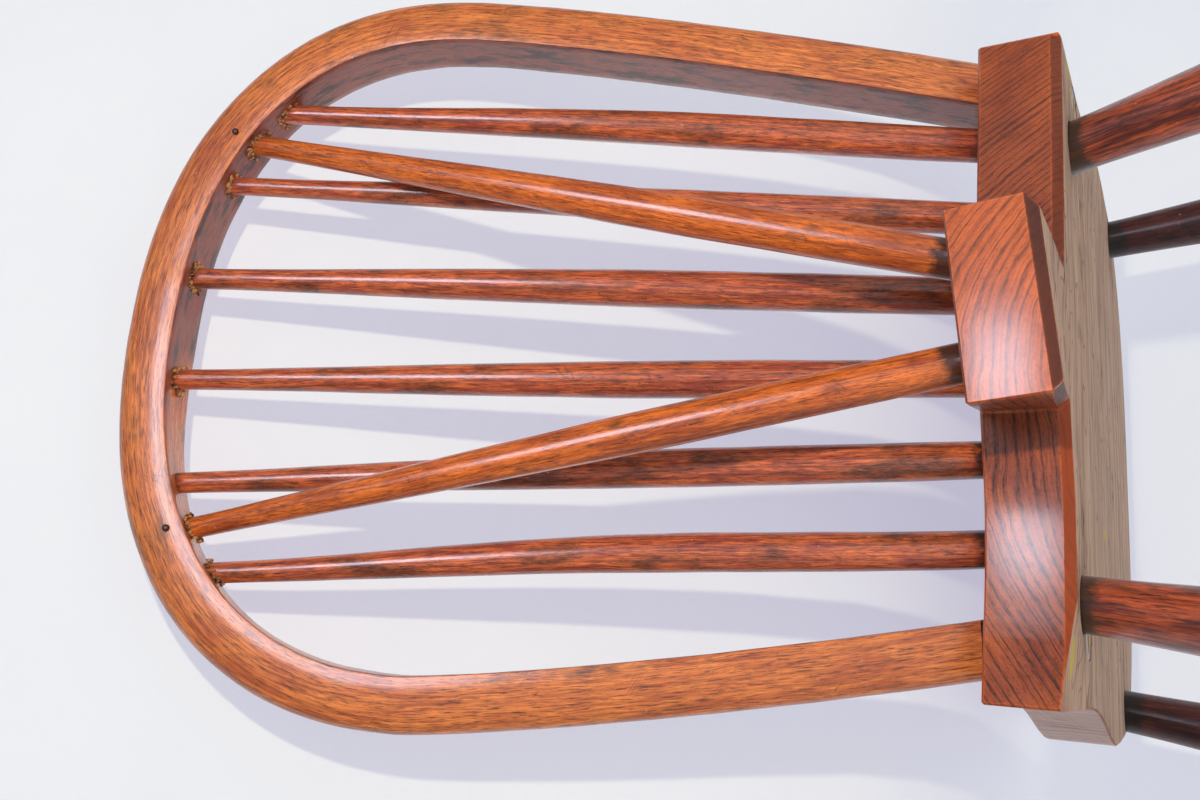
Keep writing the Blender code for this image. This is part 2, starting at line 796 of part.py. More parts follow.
def stretcher_outline(length, socket, end_radius, mid_radius):
    """(height, radius) pairs of a stretcher: straight tenons and a swell between them."""
    shown = length - 2 * socket
    pairs = [(0.0, end_radius), (socket, end_radius)]
    for step in range(1, STRETCHER_STEPS):
        share = step / STRETCHER_STEPS
        swell = math.sin(math.pi * share) ** STRETCHER_SWELL
        pairs.append((socket + shown * share, end_radius + (mid_radius - end_radius) * swell))
    pairs.append((length - socket, end_radius))
    pairs.append((length, end_radius))
    return pairs


def make_side_stretchers(legs):
    dark = finish("stretcher_wood", LEG_WOOD, 0.36)
    hole = STRETCHER_END_RADIUS + CLEARANCE
    made = {}
    for side, hand in ((-1, "left"), (1, "right")):
        front = leg_point(side, True, STRETCHER_HEIGHT)
        rear = leg_point(side, False, STRETCHER_HEIGHT)
        length = (rear - front).length
        outline = stretcher_outline(length, STRETCHER_SOCKET, STRETCHER_END_RADIUS, STRETCHER_MID_RADIUS)
        name = f"side_stretcher_{hand}"
        made[side] = turned(name, outline, front, rear, STICK_SIDES, dark)
        way = (rear - front).normalized()
        for end, leg, inward in ((front, legs[side, True], way), (rear, legs[side, False], -way)):
            deep = end - inward * CLEARANCE
            out = end + inward * 2 * OVERSHOOT
            cut(leg, round_cutter(f"{name}_in_{leg.name}", deep, out, hole, hole, STICK_SIDES))
    return made


def make_cross_stretcher(sides):
    dark = finish("cross_stretcher_wood", LEG_WOOD, 0.36)
    ends = {}
    for side in (-1, 1):
        middle = (leg_point(side, True, STRETCHER_HEIGHT) + leg_point(side, False, STRETCHER_HEIGHT)) / 2
        ends[side] = middle - ACROSS * side * (STRETCHER_MID_RADIUS - CROSS_SOCKET)
    length = (ends[1] - ends[-1]).length
    outline = stretcher_outline(length, CROSS_SOCKET, CROSS_END_RADIUS, CROSS_MID_RADIUS)
    turned("cross_stretcher", outline, ends[-1], ends[1], STICK_SIDES, dark)
    hole = CROSS_END_RADIUS + CLEARANCE
    for side, hand in ((-1, "left"), (1, "right")):
        deep = ends[side] + ACROSS * side * CLEARANCE
        out = ends[side] - ACROSS * side * 2 * OVERSHOOT
        cut(sides[side], round_cutter(f"cross_socket_{hand}", deep, out, hole, hole, STICK_SIDES))


def centre_on_origin():
    """Move the whole chair so that the origin is under the middle of its bounding box."""
    bpy.context.view_layer.update()
    graph = bpy.context.evaluated_depsgraph_get()
    corners = []
    for obj in CHAIR.objects:
        if obj.type != "MESH":
            continue
        evaluated = obj.evaluated_get(graph)
        mesh = evaluated.to_mesh()
        corners += [evaluated.matrix_world @ vertex.co for vertex in mesh.vertices]
        evaluated.to_mesh_clear()
    low = [min(corner[axis] for corner in corners) for axis in range(3)]
    high = [max(corner[axis] for corner in corners) for axis in range(3)]
    FRAME.location = (-(low[0] + high[0]) / 2, -(low[1] + high[1]) / 2, -low[2])
    bpy.context.view_layer.update()


def main():
    seat = make_seat()
    bow = make_bow()
    flush = fit_bow(seat, bow)
    make_wedges(bow, flush)
    make_back_sticks(seat, bow)
    make_braces(seat, bow)
    legs = make_legs(seat)
    cut(seat, make_worn_corner())
    make_cross_stretcher(make_side_stretchers(legs))
    centre_on_origin()


main()
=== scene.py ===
"""The dressed stick-back chair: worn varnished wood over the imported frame, on a plain pale ground.

The seat, bow, sticks, braces, legs and stretchers stand where their CAD nodes are, made finer,
and carry their own straightened wood coordinates, so that the grain follows every bend.
"""

import logging
import math
import random
from dataclasses import dataclass, field
from enum import Enum
from typing import Callable, Iterable, Sequence, Union

import bmesh
import bpy
from mathutils import Matrix, Vector, noise


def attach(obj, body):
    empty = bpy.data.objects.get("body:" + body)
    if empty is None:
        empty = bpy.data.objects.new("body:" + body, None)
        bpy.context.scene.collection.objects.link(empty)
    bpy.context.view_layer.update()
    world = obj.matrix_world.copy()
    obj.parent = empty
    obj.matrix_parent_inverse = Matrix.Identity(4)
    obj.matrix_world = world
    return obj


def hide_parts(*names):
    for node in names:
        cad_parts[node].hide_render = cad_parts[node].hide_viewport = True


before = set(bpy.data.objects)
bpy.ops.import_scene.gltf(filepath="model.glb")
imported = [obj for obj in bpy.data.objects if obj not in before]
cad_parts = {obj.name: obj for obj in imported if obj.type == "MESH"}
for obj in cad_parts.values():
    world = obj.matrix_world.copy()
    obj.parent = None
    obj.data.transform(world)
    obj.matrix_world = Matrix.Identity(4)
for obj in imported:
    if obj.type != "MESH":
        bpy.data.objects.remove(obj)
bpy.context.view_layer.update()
LOG = logging.getLogger("chair")

Socket = bpy.types.NodeSocket
Input = Union[Socket, float, int, tuple]
Colour = tuple[float, float, float]
Profile = Sequence[tuple[float, float]]

ACROSS = Vector((1.0, 0.0, 0.0))
SHIFT = Vector((0.0, 0.1207314, 0.0))
SEAT_HEIGHT = 0.440
SEAT_THICKNESS = 0.039
SEAT_UNDERSIDE = SEAT_HEIGHT - SEAT_THICKNESS
WOOD = "wood"
ENDS = "ends"


class Side(Enum):
    """The two sides of the chair, as the sign of X."""

    LEFT = -1
    RIGHT = 1

    @property
    def word(self) -> str:
        """The side's word in the names of nodes."""
        return self.name.lower()


class Row(Enum):
    """The two rows of legs."""

    FRONT = "front"
    REAR = "rear"


def linear(red: int, green: int, blue: int) -> Colour:
    """Turn a display colour of 0 to 255 into linear light.

    Args:
        red: Red, 0 to 255.
        green: Green, 0 to 255.
        blue: Blue, 0 to 255.

    Returns:
        The three linear values, 0 to 1.
    """
    values = []
    for level in (red, green, blue):
        share = level / 255
        values.append(share / 12.92 if share <= 0.04045 else ((share + 0.055) / 1.055) ** 2.4)
    return (values[0], values[1], values[2])


# Wiring of materials


class Wiring:
    """Adds nodes to one node tree and wires them up."""

    def __init__(self, tree: bpy.types.NodeTree) -> None:
        """Work on this tree."""
        self.tree = tree

    def add(self, kind: str, inputs: dict | None = None, **settings: object) -> bpy.types.Node:
        """Add one node.

        Args:
            kind: The node's Blender type.
            inputs: Values or sockets by input name or index.
            **settings: Attributes to set on the node.

        Returns:
            The node.
        """
        node = self.tree.nodes.new(kind)
        for name, value in settings.items():
            setattr(node, name, value)
        for key, value in (inputs or {}).items():
            self.feed(node.inputs[key], value)
        return node

    def feed(self, target: Socket, value: Input) -> None:
        """Link a socket to the target, or set the target's value."""
        if isinstance(value, bpy.types.NodeSocket):
            self.tree.links.new(value, target)
        elif isinstance(value, tuple) and len(value) == 3 and target.type == "RGBA":
            target.default_value = (*value, 1.0)
        else:
            target.default_value = value

    def math(self, operation: str, first: Input, second: Input = 0.0, clamp: bool = False) -> Socket:
        """Add a Math node and return its value."""
        node = self.add("ShaderNodeMath", {0: first, 1: second}, operation=operation, use_clamp=clamp)
        return node.outputs[0]

    def vector(self, operation: str, first: Input, second: Input = (0.0, 0.0, 0.0)) -> Socket:
        """Add a Vector Math node and return its vector."""
        node = self.add("ShaderNodeVectorMath", {0: first, 1: second}, operation=operation)
        return node.outputs["Vector"]

    def spread(self, value: Input, low: float, high: float, start: float = 0.0, end: float = 1.0) -> Socket:
        """Spread low..high over start..end, clamped.

        Args:
            value: The value to spread.
            low: The value that becomes start.
            high: The value that becomes end.
            start: The output at low.
            end: The output at high.

        Returns:
            The spread value.
        """
        inputs = {0: value, 1: low, 2: high, 3: start, 4: end}
        return self.add("ShaderNodeMapRange", inputs, clamp=True).outputs[0]

    def blend(self, share: Input, first: Input, second: Input) -> Socket:
        """Mix two colours and return the result."""
        inputs = {0: share, 6: first, 7: second}
        return self.add("ShaderNodeMix", inputs, data_type="RGBA", clamp_result=False).outputs[2]

    def noise(self, vector: Input, scale: Input, detail: float = 4.0, rough: float = 0.6) -> Socket:
        """Add a Noise Texture and return its value, about 0.5 in the middle."""
        inputs = {"Vector": vector, "Scale": scale, "Detail": detail, "Roughness": rough}
        return self.add("ShaderNodeTexNoise", inputs).outputs[0]

    def split(self, vector: Socket) -> tuple[Socket, Socket, Socket]:
        """Separate a vector into its three parts."""
        parts = self.add("ShaderNodeSeparateXYZ", {0: vector}).outputs
        return parts[0], parts[1], parts[2]

    def join(self, x: Input, y: Input, z: Input) -> Socket:
        """Combine three values into a vector."""
        return self.add("ShaderNodeCombineXYZ", {0: x, 1: y, 2: z}).outputs[0]

    def group(self, tree: bpy.types.NodeTree, inputs: dict) -> bpy.types.Node:
        """Place a shader node group with its own values."""
        node = self.tree.nodes.new("ShaderNodeGroup")
        node.node_tree = tree
        for key, value in inputs.items():
            self.feed(node.inputs[key], value)
        return node


class GroupBook:
    """The shader node groups that the materials share, each built once."""

    def __init__(self) -> None:
        """Start with no group built."""
        self.made: dict[str, bpy.types.NodeTree] = {}

    def _new(
        self, name: str, inputs: dict[str, tuple[str, object]], outputs: Iterable[str]
    ) -> tuple[Wiring, bpy.types.Node, bpy.types.Node]:
        """Start a group.

        Args:
            name: The group's name.
            inputs: Socket type and default by input name.
            outputs: Names of the float outputs.

        Returns:
            The wiring, the group's input node and its output node.
        """
        tree = bpy.data.node_groups.new(name, "ShaderNodeTree")
        for label, (kind, value) in inputs.items():
            socket = tree.interface.new_socket(name=label, in_out="INPUT", socket_type=kind)
            socket.default_value = value
        for label in outputs:
            tree.interface.new_socket(name=label, in_out="OUTPUT", socket_type="NodeSocketFloat")
        wire = Wiring(tree)
        self.made[name] = tree
        return wire, wire.add("NodeGroupInput"), wire.add("NodeGroupOutput")

    def grain(self) -> bpy.types.NodeTree:
        """Long streaks, fine fibres and blotches along the third wood coordinate."""
        name = "wood_grain"
        if name in self.made:
            return self.made[name]
        inputs = {
            "Wood": ("NodeSocketVector", (0.0, 0.0, 0.0)),
            "Width": ("NodeSocketFloat", 0.002),
            "Stretch": ("NodeSocketFloat", 14.0),
            "Wander": ("NodeSocketFloat", 0.002),
        }
        wire, given, result = self._new(name, inputs, ("Streaks", "Fibres", "Blotches", "Long"))
        wood = given.outputs["Wood"]
        drift = wire.add("ShaderNodeTexNoise", {"Vector": wood, "Scale": 14.0, "Detail": 2.0})
        centred = wire.vector("SUBTRACT", drift.outputs["Color"], (0.5, 0.5, 0.5))
        amount = wire.add(
            "ShaderNodeVectorMath", {0: centred, "Scale": given.outputs["Wander"]}, operation="SCALE"
        )
        bent = wire.vector("ADD", wood, amount.outputs["Vector"])
        x, y, z = wire.split(bent)
        inverse = wire.math("DIVIDE", 1.0, given.outputs["Width"])
        short = wire.math("DIVIDE", inverse, given.outputs["Stretch"])
        streak_at = wire.join(
            wire.math("MULTIPLY", x, inverse),
            wire.math("MULTIPLY", y, inverse),
            wire.math("MULTIPLY", z, short),
        )
        streaks = wire.noise(streak_at, 1.0, detail=5.0, rough=0.62)
        fibres = wire.noise(wire.vector("MULTIPLY", streak_at, (3.6, 3.6, 1.5)), 1.0, detail=4.0, rough=0.7)
        longs = wire.noise(wire.vector("MULTIPLY", streak_at, (0.38, 0.38, 0.30)), 1.0, detail=3.0)
        blotch_at = wire.vector("MULTIPLY", bent, (60.0, 60.0, 24.0))
        blotches = wire.noise(blotch_at, 1.0, detail=4.0, rough=0.6)
        for label, socket in (
            ("Streaks", streaks), ("Fibres", fibres), ("Blotches", blotches), ("Long", longs)
        ):
            wire.feed(result.inputs[label], socket)
        return self.made[name]

    def rings(self) -> bpy.types.NodeTree:
        """Growth rings at even steps of a given depth, as dark lines that wander and break up."""
        name = "growth_rings"
        if name in self.made:
            return self.made[name]
        inputs = {
            "Wood": ("NodeSocketVector", (0.0, 0.0, 0.0)),
            "Depth": ("NodeSocketFloat", 0.0),
            "Spacing": ("NodeSocketFloat", 0.003),
            "Wander": ("NodeSocketFloat", 0.002),
            "Drift": ("NodeSocketFloat", 6.0),
        }
        wire, given, result = self._new(name, inputs, ("Line", "Fleck"))
        x, y, z = wire.split(given.outputs["Wood"])
        low_at = wire.join(
            wire.math("MULTIPLY", x, 22.0),
            wire.math("MULTIPLY", y, 22.0),
            wire.math("MULTIPLY", z, given.outputs["Drift"]),
        )
        drift = wire.math("SUBTRACT", wire.noise(low_at, 1.0, detail=3.0, rough=0.5), 0.5)
        bent = wire.math("ADD", given.outputs["Depth"], wire.math("MULTIPLY", drift, given.outputs["Wander"]))
        turns = wire.math("DIVIDE", bent, given.outputs["Spacing"])
        years = wire.noise(wire.join(wire.math("MULTIPLY", turns, 0.45), 0.0, 0.0), 1.0, detail=2.0)
        part = wire.math("FRACT", wire.math("ADD", turns, wire.math("MULTIPLY", years, 2.2)))
        ramp = wire.spread(part, 0.0, 0.78)
        fall = wire.spread(part, 0.78, 1.0, 1.0, 0.0)
        shape = wire.math("MULTIPLY", wire.math("POWER", ramp, 2.0), fall)
        fleck_at = wire.join(
            wire.math("MULTIPLY", turns, 5.5), wire.math("MULTIPLY", x, 190.0), wire.math("MULTIPLY", z, 90.0)
        )
        fleck = wire.noise(fleck_at, 1.0, detail=4.0, rough=0.65)
        breakup = wire.spread(fleck, 0.34, 0.60, 0.40, 1.0)
        wire.feed(result.inputs["Line"], wire.math("MULTIPLY", wire.spread(shape, 0.42, 0.92), breakup))
        wire.feed(result.inputs["Fleck"], wire.spread(fleck, 0.50, 0.68))
        return self.made[name]

    def rub(self) -> bpy.types.NodeTree:
        """Where edges and corners are rubbed, broken up by noise."""
        name = "rubbed_edges"
        if name in self.made:
            return self.made[name]
        inputs = {
            "Position": ("NodeSocketVector", (0.0, 0.0, 0.0)),
            "Radius": ("NodeSocketFloat", 0.0015),
            "Breakup": ("NodeSocketFloat", 220.0),
        }
        wire, given, result = self._new(name, inputs, ("Mask",))
        rounded = wire.add("ShaderNodeBevel", {"Radius": given.outputs["Radius"]}, samples=6)
        flat = wire.add("ShaderNodeNewGeometry").outputs["Normal"]
        match = wire.add("ShaderNodeVectorMath", {0: rounded.outputs[0], 1: flat}, operation="DOT_PRODUCT")
        bend = wire.spread(match.outputs["Value"], 0.998, 0.86)
        broken = wire.spread(
            wire.noise(given.outputs["Position"], given.outputs["Breakup"], detail=5.0, rough=0.7), 0.36, 0.56
        )
        wire.feed(result.inputs["Mask"], wire.math("MULTIPLY", bend, broken, clamp=True))
        return self.made[name]

    def scratches(self) -> bpy.types.NodeTree:
        """Thin scratches that lie across the grain, few and short."""
        name = "scratches"
        if name in self.made:
            return self.made[name]
        inputs = {
            "Wood": ("NodeSocketVector", (0.0, 0.0, 0.0)),
            "Turn": ("NodeSocketFloat", 0.7),
            "Width": ("NodeSocketFloat", 0.012),
        }
        wire, given, result = self._new(name, inputs, ("Mask",))
        turned = wire.add(
            "ShaderNodeVectorRotate",
            {"Vector": given.outputs["Wood"], "Angle": given.outputs["Turn"]},
            rotation_type="Y_AXIS",
        )
        long_way = wire.vector("MULTIPLY", turned.outputs[0], (260.0, 260.0, 26.0))
        value = wire.noise(long_way, 1.0, detail=1.0, rough=0.4)
        away = wire.math("ABSOLUTE", wire.math("SUBTRACT", value, 0.5))
        line = wire.math("LESS_THAN", away, given.outputs["Width"])
        patch = wire.spread(wire.noise(given.outputs["Wood"], 46.0, detail=2.0), 0.56, 0.62)
        wire.feed(result.inputs["Mask"], wire.math("MULTIPLY", line, patch))
        return self.made[name]

    def band(self) -> bpy.types.NodeTree:
        """A ragged band up to a given distance from an end."""
        name = "end_band"
        if name in self.made:
            return self.made[name]
        inputs = {
            "Distance": ("NodeSocketFloat", 0.0),
            "Reach": ("NodeSocketFloat", 0.01),
            "Wood": ("NodeSocketVector", (0.0, 0.0, 0.0)),
            "Ragged": ("NodeSocketFloat", 0.004),
        }
        wire, given, result = self._new(name, inputs, ("Mask",))
        near = wire.vector("MULTIPLY", given.outputs["Wood"], (240.0, 240.0, 120.0))
        rough = wire.math("SUBTRACT", wire.noise(near, 1.0, detail=4.0, rough=0.65), 0.5)
        shake = wire.math("MULTIPLY", rough, wire.math("MULTIPLY", given.outputs["Ragged"], 2.0))
        distance = wire.math("ADD", given.outputs["Distance"], shake)
        gap = wire.math("DIVIDE", wire.math("SUBTRACT", given.outputs["Reach"], distance), 0.004)
        wire.feed(result.inputs["Mask"], wire.math("ADD", gap, 0.5, clamp=True))
        return self.made[name]


GROUPS = GroupBook()


def new_material(name: str) -> tuple[bpy.types.Material, Wiring, bpy.types.Node]:
    """Start a node material.

    Args:
        name: The material's name.

    Returns:
        The material, its wiring and its Principled shader.
    """
    material = bpy.data.materials.new(name)
    material.use_nodes = True
    return material, Wiring(material.node_tree), material.node_tree.nodes["Principled BSDF"]


@dataclass(frozen=True)
class VarnishedWood:
    """Old varnish over turned or bent wood: streaks, rings, dark mottles and blackened ends.

    Attributes:
        name: The material's name.
        light: The palest wood between streaks.
        middle: The usual colour.
        dark: The colour of streaks and rings.
        mottle: The colour of the dark mottles.
        width: Width of a streak, in metres.
        stretch: How much longer than wide a streak is.
        ring_spacing: Distance between growth rings, in metres.
        ring_share: How strongly the rings show.
        mottle_share: How much of the piece is mottled, 0 to 1.
        seat_band: Reach of the dark band at the seat, in metres.
        band_colour: The dark band's colour.
        bow_band: Reach of the dark band at the bow, in metres.
        scratch_share: How strongly scratches show.
        inner_face: Where across the piece its dark inner face begins, or 0 for none.
        inner_colour: The inner face's colour.
        inner_streak: The colour of the streaks on the inner face.
        inner_mark: The colour of the black marks on the inner face.
        inner_warm: The colour of the patches where the inner face is worn.
        nick: The colour of the small chips in the varnish.
        roughness: Roughness of the varnish in its middle.
        coat: Weight of the gloss coat.
        bump: Strength of the grain's relief.
    """

    name: str
    light: Colour
    middle: Colour
    dark: Colour
    mottle: Colour
    width: float = 0.0016
    stretch: float = 16.0
    ring_spacing: float = 0.0032
    ring_share: float = 0.5
    mottle_share: float = 0.4
    seat_band: float = 0.010
    band_colour: Colour = (0.012, 0.008, 0.008)
    bow_band: float = 0.0
    scratch_share: float = 0.4
    inner_face: float = 0.0
    inner_colour: Colour = linear(142, 70, 52)
    inner_streak: Colour = linear(40, 24, 24)
    inner_mark: Colour = linear(44, 28, 30)
    inner_warm: Colour = linear(150, 72, 44)
    nick: Colour = linear(190, 130, 100)
    roughness: float = 0.34
    coat: float = 0.6
    bump: float = 0.25

    def build(self) -> bpy.types.Material:
        """Make the material.

        Returns:
            The finished material.
        """
        material, wire, shader = new_material(self.name)
        wood = wire.add("ShaderNodeAttribute", attribute_name=WOOD).outputs["Vector"]
        ends = wire.add("ShaderNodeAttribute", attribute_name=ENDS).outputs["Vector"]
        from_seat, from_bow, seed = wire.split(ends)
        shifted = wire.vector("ADD", wood, wire.join(0.0, seed, wire.math("MULTIPLY", seed, 7.0)))
        grain = wire.group(
            GROUPS.grain(), {"Wood": shifted, "Width": self.width, "Stretch": self.stretch, "Wander": 0.004}
        ).outputs
        across, behind, _ = wire.split(wood)
        from_heart = wire.join(
            wire.math("SUBTRACT", across, wire.math("ADD", wire.math("MULTIPLY", seed, 0.04), 0.008)),
            wire.math("SUBTRACT", behind, 0.016),
            0.0,
        )
        depth = wire.add("ShaderNodeVectorMath", {0: from_heart}, operation="LENGTH").outputs["Value"]
        rings = wire.group(
            GROUPS.rings(),
            {"Wood": shifted, "Depth": depth, "Spacing": self.ring_spacing, "Wander": 0.010, "Drift": 5.0},
        ).outputs
        tone = wire.spread(wire.math("ADD", grain["Long"], grain["Blotches"]), 0.84, 1.16)
        colour = wire.blend(tone, self.middle, self.light)
        streak = wire.spread(grain["Streaks"], 0.50, 0.66)
        colour = wire.blend(wire.math("MULTIPLY", streak, 0.85), colour, self.dark)
        fibre = wire.spread(grain["Fibres"], 0.52, 0.70)
        colour = wire.blend(wire.math("MULTIPLY", fibre, 0.55), colour, self.dark)
        line = wire.math("MULTIPLY", rings["Line"], self.ring_share)
        colour = wire.blend(line, colour, self.dark)
        edge = 0.66 - 0.26 * self.mottle_share
        patch = wire.spread(grain["Blotches"], edge, edge + 0.14)
        torn = wire.math("MULTIPLY", patch, wire.spread(grain["Fibres"], 0.30, 0.56, 0.35, 0.9))
        colour = wire.blend(torn, colour, self.mottle)
        colour = self._pale_nicks(wire, shifted, colour)
        if self.inner_face:
            inner = wire.spread(across, self.inner_face, self.inner_face - 0.0004)
            colour = wire.blend(inner, colour, self._inner(wire, shifted, streak, grain["Blotches"]))
        band = wire.group(
            GROUPS.band(), {"Distance": from_seat, "Reach": self.seat_band, "Wood": shifted, "Ragged": 0.006}
        ).outputs[0]
        colour = wire.blend(wire.math("MULTIPLY", band, 0.88), colour, self.band_colour)
        tip = wire.group(
            GROUPS.band(), {"Distance": from_bow, "Reach": self.bow_band, "Wood": shifted, "Ragged": 0.003}
        ).outputs[0]
        colour = wire.blend(wire.math("MULTIPLY", tip, 0.75), colour, self.band_colour)
        scratch = wire.group(GROUPS.scratches(), {"Wood": shifted, "Turn": 0.8, "Width": 0.014}).outputs[0]
        scratched = wire.math("MULTIPLY", scratch, self.scratch_share)
        colour = wire.blend(scratched, colour, self.mottle)
        wire.feed(shader.inputs["Base Color"], colour)
        rough = wire.spread(grain["Fibres"], 0.35, 0.70, self.roughness - 0.10, self.roughness + 0.16)
        wire.feed(shader.inputs["Roughness"], rough)
        shader.inputs["Coat Weight"].default_value = self.coat
        shader.inputs["Coat Roughness"].default_value = 0.22
        shader.inputs["Specular IOR Level"].default_value = 0.25
        shader.inputs["IOR"].default_value = 1.5
        height = wire.math("ADD", grain["Fibres"], wire.math("MULTIPLY", rings["Line"], -0.35))
        height = wire.math("SUBTRACT", height, wire.math("MULTIPLY", scratched, 0.9))
        fine = wire.noise(wire.vector("MULTIPLY", wood, (900.0, 900.0, 500.0)), 1.0, detail=3.0)
        height = wire.math("ADD", height, wire.math("MULTIPLY", fine, 0.30))
        bump = wire.add("ShaderNodeBump", {"Strength": self.bump, "Distance": 0.0006, "Height": height})
        wire.feed(shader.inputs["Normal"], bump.outputs[0])
        return material

    def _inner(self, wire: Wiring, wood: Socket, streak: Socket, blotches: Socket) -> Socket:
        """Colour of the dark inner face.

        Args:
            wire: The material's wiring.
            wood: The place in the straightened wood.
            streak: Where the streaks are.
            blotches: Broad noise.

        Returns:
            The colour.
        """
        shaded = wire.blend(wire.math("MULTIPLY", streak, 0.8), self.inner_colour, self.inner_streak)
        marks = wire.vector("MULTIPLY", wood, (150.0, 150.0, 34.0))
        black = wire.spread(wire.noise(marks, 1.0, detail=5.0, rough=0.7), 0.50, 0.60, 0.0, 0.85)
        shaded = wire.blend(black, shaded, self.inner_mark)
        return wire.blend(wire.spread(blotches, 0.56, 0.66, 0.0, 0.7), shaded, self.inner_warm)

    def _pale_nicks(self, wire: Wiring, wood: Socket, colour: Socket) -> Socket:
        """Add a few pale chips in the varnish, and return the colour with them."""
        at = wire.vector("MULTIPLY", wood, (420.0, 420.0, 260.0))
        chips = wire.spread(wire.noise(at, 1.0, detail=2.0, rough=0.5), 0.745, 0.76)
        return wire.blend(wire.math("MULTIPLY", chips, 0.8), colour, self.nick)


@dataclass(frozen=True)
class SeatWood:
    """The seat plank: varnished top and edges with end grain, and a bare weathered underside."""

    name: str = "seat_plank"
    edge_light: Colour = linear(176, 84, 36)
    edge_middle: Colour = linear(132, 56, 27)
    edge_dark: Colour = linear(44, 24, 20)
    tail_light: Colour = linear(212, 104, 46)
    tail_middle: Colour = linear(176, 80, 38)
    tail_dark: Colour = linear(104, 54, 38)
    strip_left: Colour = linear(100, 50, 36)
    strip_right: Colour = linear(158, 70, 36)
    # The tail chamfers' dark colour is painted shade.
    tail_strip: Colour = linear(74, 44, 38)
    top_worn: Colour = linear(176, 104, 58)
    rubbed: Colour = linear(236, 112, 46)
    bare_light: Colour = linear(212, 180, 154)
    bare_middle: Colour = linear(178, 147, 125)
    bare_dark: Colour = linear(104, 81, 67)
    bare_loop: Colour = linear(126, 74, 50)
    bare_crack: Colour = linear(48, 38, 34)
    residue: Colour = linear(206, 186, 84)
    left_start: float = -0.010
    left_steepness: float = 3.1
    left_power: float = 1.6
    right_start: float = 0.070
    right_steepness: float = 1.65
    right_power: float = 1.5
    ring_spacing: float = 0.0050
    residue_places: tuple = (
        (-0.158, 0.094, 0.0035, 0.012), (0.142, 0.112, 0.0110, 0.0035), (0.066, -0.050, 0.004, 0.008),
        (-0.166, 0.048, 0.0035, 0.009), (-0.150, 0.078, 0.0030, 0.011),
    )

    def build(self) -> bpy.types.Material:
        """Make the material.

        Returns:
            The finished material.
        """
        material, wire, shader = new_material(self.name)
        place = wire.add("ShaderNodeTexCoord").outputs["Object"]
        x, y, z = wire.split(place)
        normal_x, normal_y, normal_z = wire.split(wire.add("ShaderNodeNewGeometry").outputs["Normal"])
        low = wire.math("SUBTRACT", z, SEAT_UNDERSIDE)
        along = wire.join(x, low, y)
        leftwards = wire.math("MULTIPLY", x, -1.0)
        left = wire.math("MAXIMUM", wire.math("SUBTRACT", leftwards, self.left_start), 0.0)
        left = wire.math("MULTIPLY", wire.math("POWER", left, self.left_power), self.left_steepness)
        right = wire.math("MAXIMUM", wire.math("SUBTRACT", x, self.right_start), 0.0)
        right = wire.math("MULTIPLY", wire.math("POWER", right, self.right_power), self.right_steepness)
        depth = wire.math("ADD", low, wire.math("ADD", left, right))
        shape = {"Wood": along, "Depth": depth, "Wander": 0.010, "Drift": 2.5}
        rings = wire.group(GROUPS.rings(), {**shape, "Spacing": self.ring_spacing}).outputs
        fine = wire.group(GROUPS.rings(), {**shape, "Spacing": self.ring_spacing * 0.41}).outputs
        pores = wire.noise(place, 900.0, detail=3.0, rough=0.6)
        broad = wire.noise(place, 22.0, detail=4.0, rough=0.6)
        varnished = self._varnished(wire, rings, fine, pores, broad, x, y, normal_y, normal_z, place)
        bare, bare_height = self._bare(wire, place, x, y)
        facing_down = wire.spread(wire.math("MULTIPLY", normal_z, -1.0), 0.80, 0.93)
        outside = wire.math("MULTIPLY", facing_down, wire.spread(low, 0.010, 0.004))
        # Side faces take pale bare wood at about half strength. This is partly their weathered wood and
        # partly a painted reflection standing in for the pale sheen on the flared side.
        side = wire.spread(wire.math("ABSOLUTE", normal_x), 0.62, 0.80)
        hewn_and_sheen = wire.math("MULTIPLY", side, wire.spread(y, 0.120, 0.108))
        hewn_and_sheen = wire.math("MULTIPLY", hewn_and_sheen, 0.55)
        raw = wire.math("MAXIMUM", outside, hewn_and_sheen)
        colour = wire.blend(raw, varnished, bare)
        colour = self._residue(wire, x, y, outside, place, colour)
        wire.feed(shader.inputs["Base Color"], colour)
        glossy = wire.spread(pores, 0.35, 0.70, 0.42, 0.60)
        rough = wire.add("ShaderNodeMix", {0: raw, 2: glossy, 3: 0.86}).outputs[0]
        wire.feed(shader.inputs["Roughness"], rough)
        tilted = wire.spread(normal_z, -0.30, -0.42)
        corner = wire.math("MULTIPLY", wire.spread(x, 0.126, 0.136), wire.spread(normal_y, 0.6, 0.8))
        dull = wire.math("MAXIMUM", raw, wire.math("MAXIMUM", tilted, corner))
        wire.feed(shader.inputs["Coat Weight"], wire.spread(dull, 0.0, 1.0, 1.0, 0.0))
        shader.inputs["Coat Roughness"].default_value = 0.24
        shader.inputs["Specular IOR Level"].default_value = 0.25
        ridge = wire.math("MULTIPLY", wire.math("ADD", rings["Line"], rings["Fleck"]), -0.35)
        gloss_height = wire.math("ADD", ridge, wire.math("MULTIPLY", pores, 0.5))
        height = wire.add("ShaderNodeMix", {0: raw, 2: gloss_height, 3: bare_height}).outputs[0]
        planed = wire.math("MULTIPLY", wire.spread(normal_y, 0.85, 0.95), wire.spread(y, 0.10, 0.105))
        kept = wire.spread(planed, 0.0, 1.0, 1.0, 0.03)
        evened = wire.join(wire.math("MULTIPLY", normal_x, kept), normal_y, normal_z)
        relief = {"Strength": 0.35, "Distance": 0.0005, "Height": height, "Normal": evened}
        bump = wire.add("ShaderNodeBump", relief)
        wire.feed(shader.inputs["Normal"], bump.outputs[0])
        return material

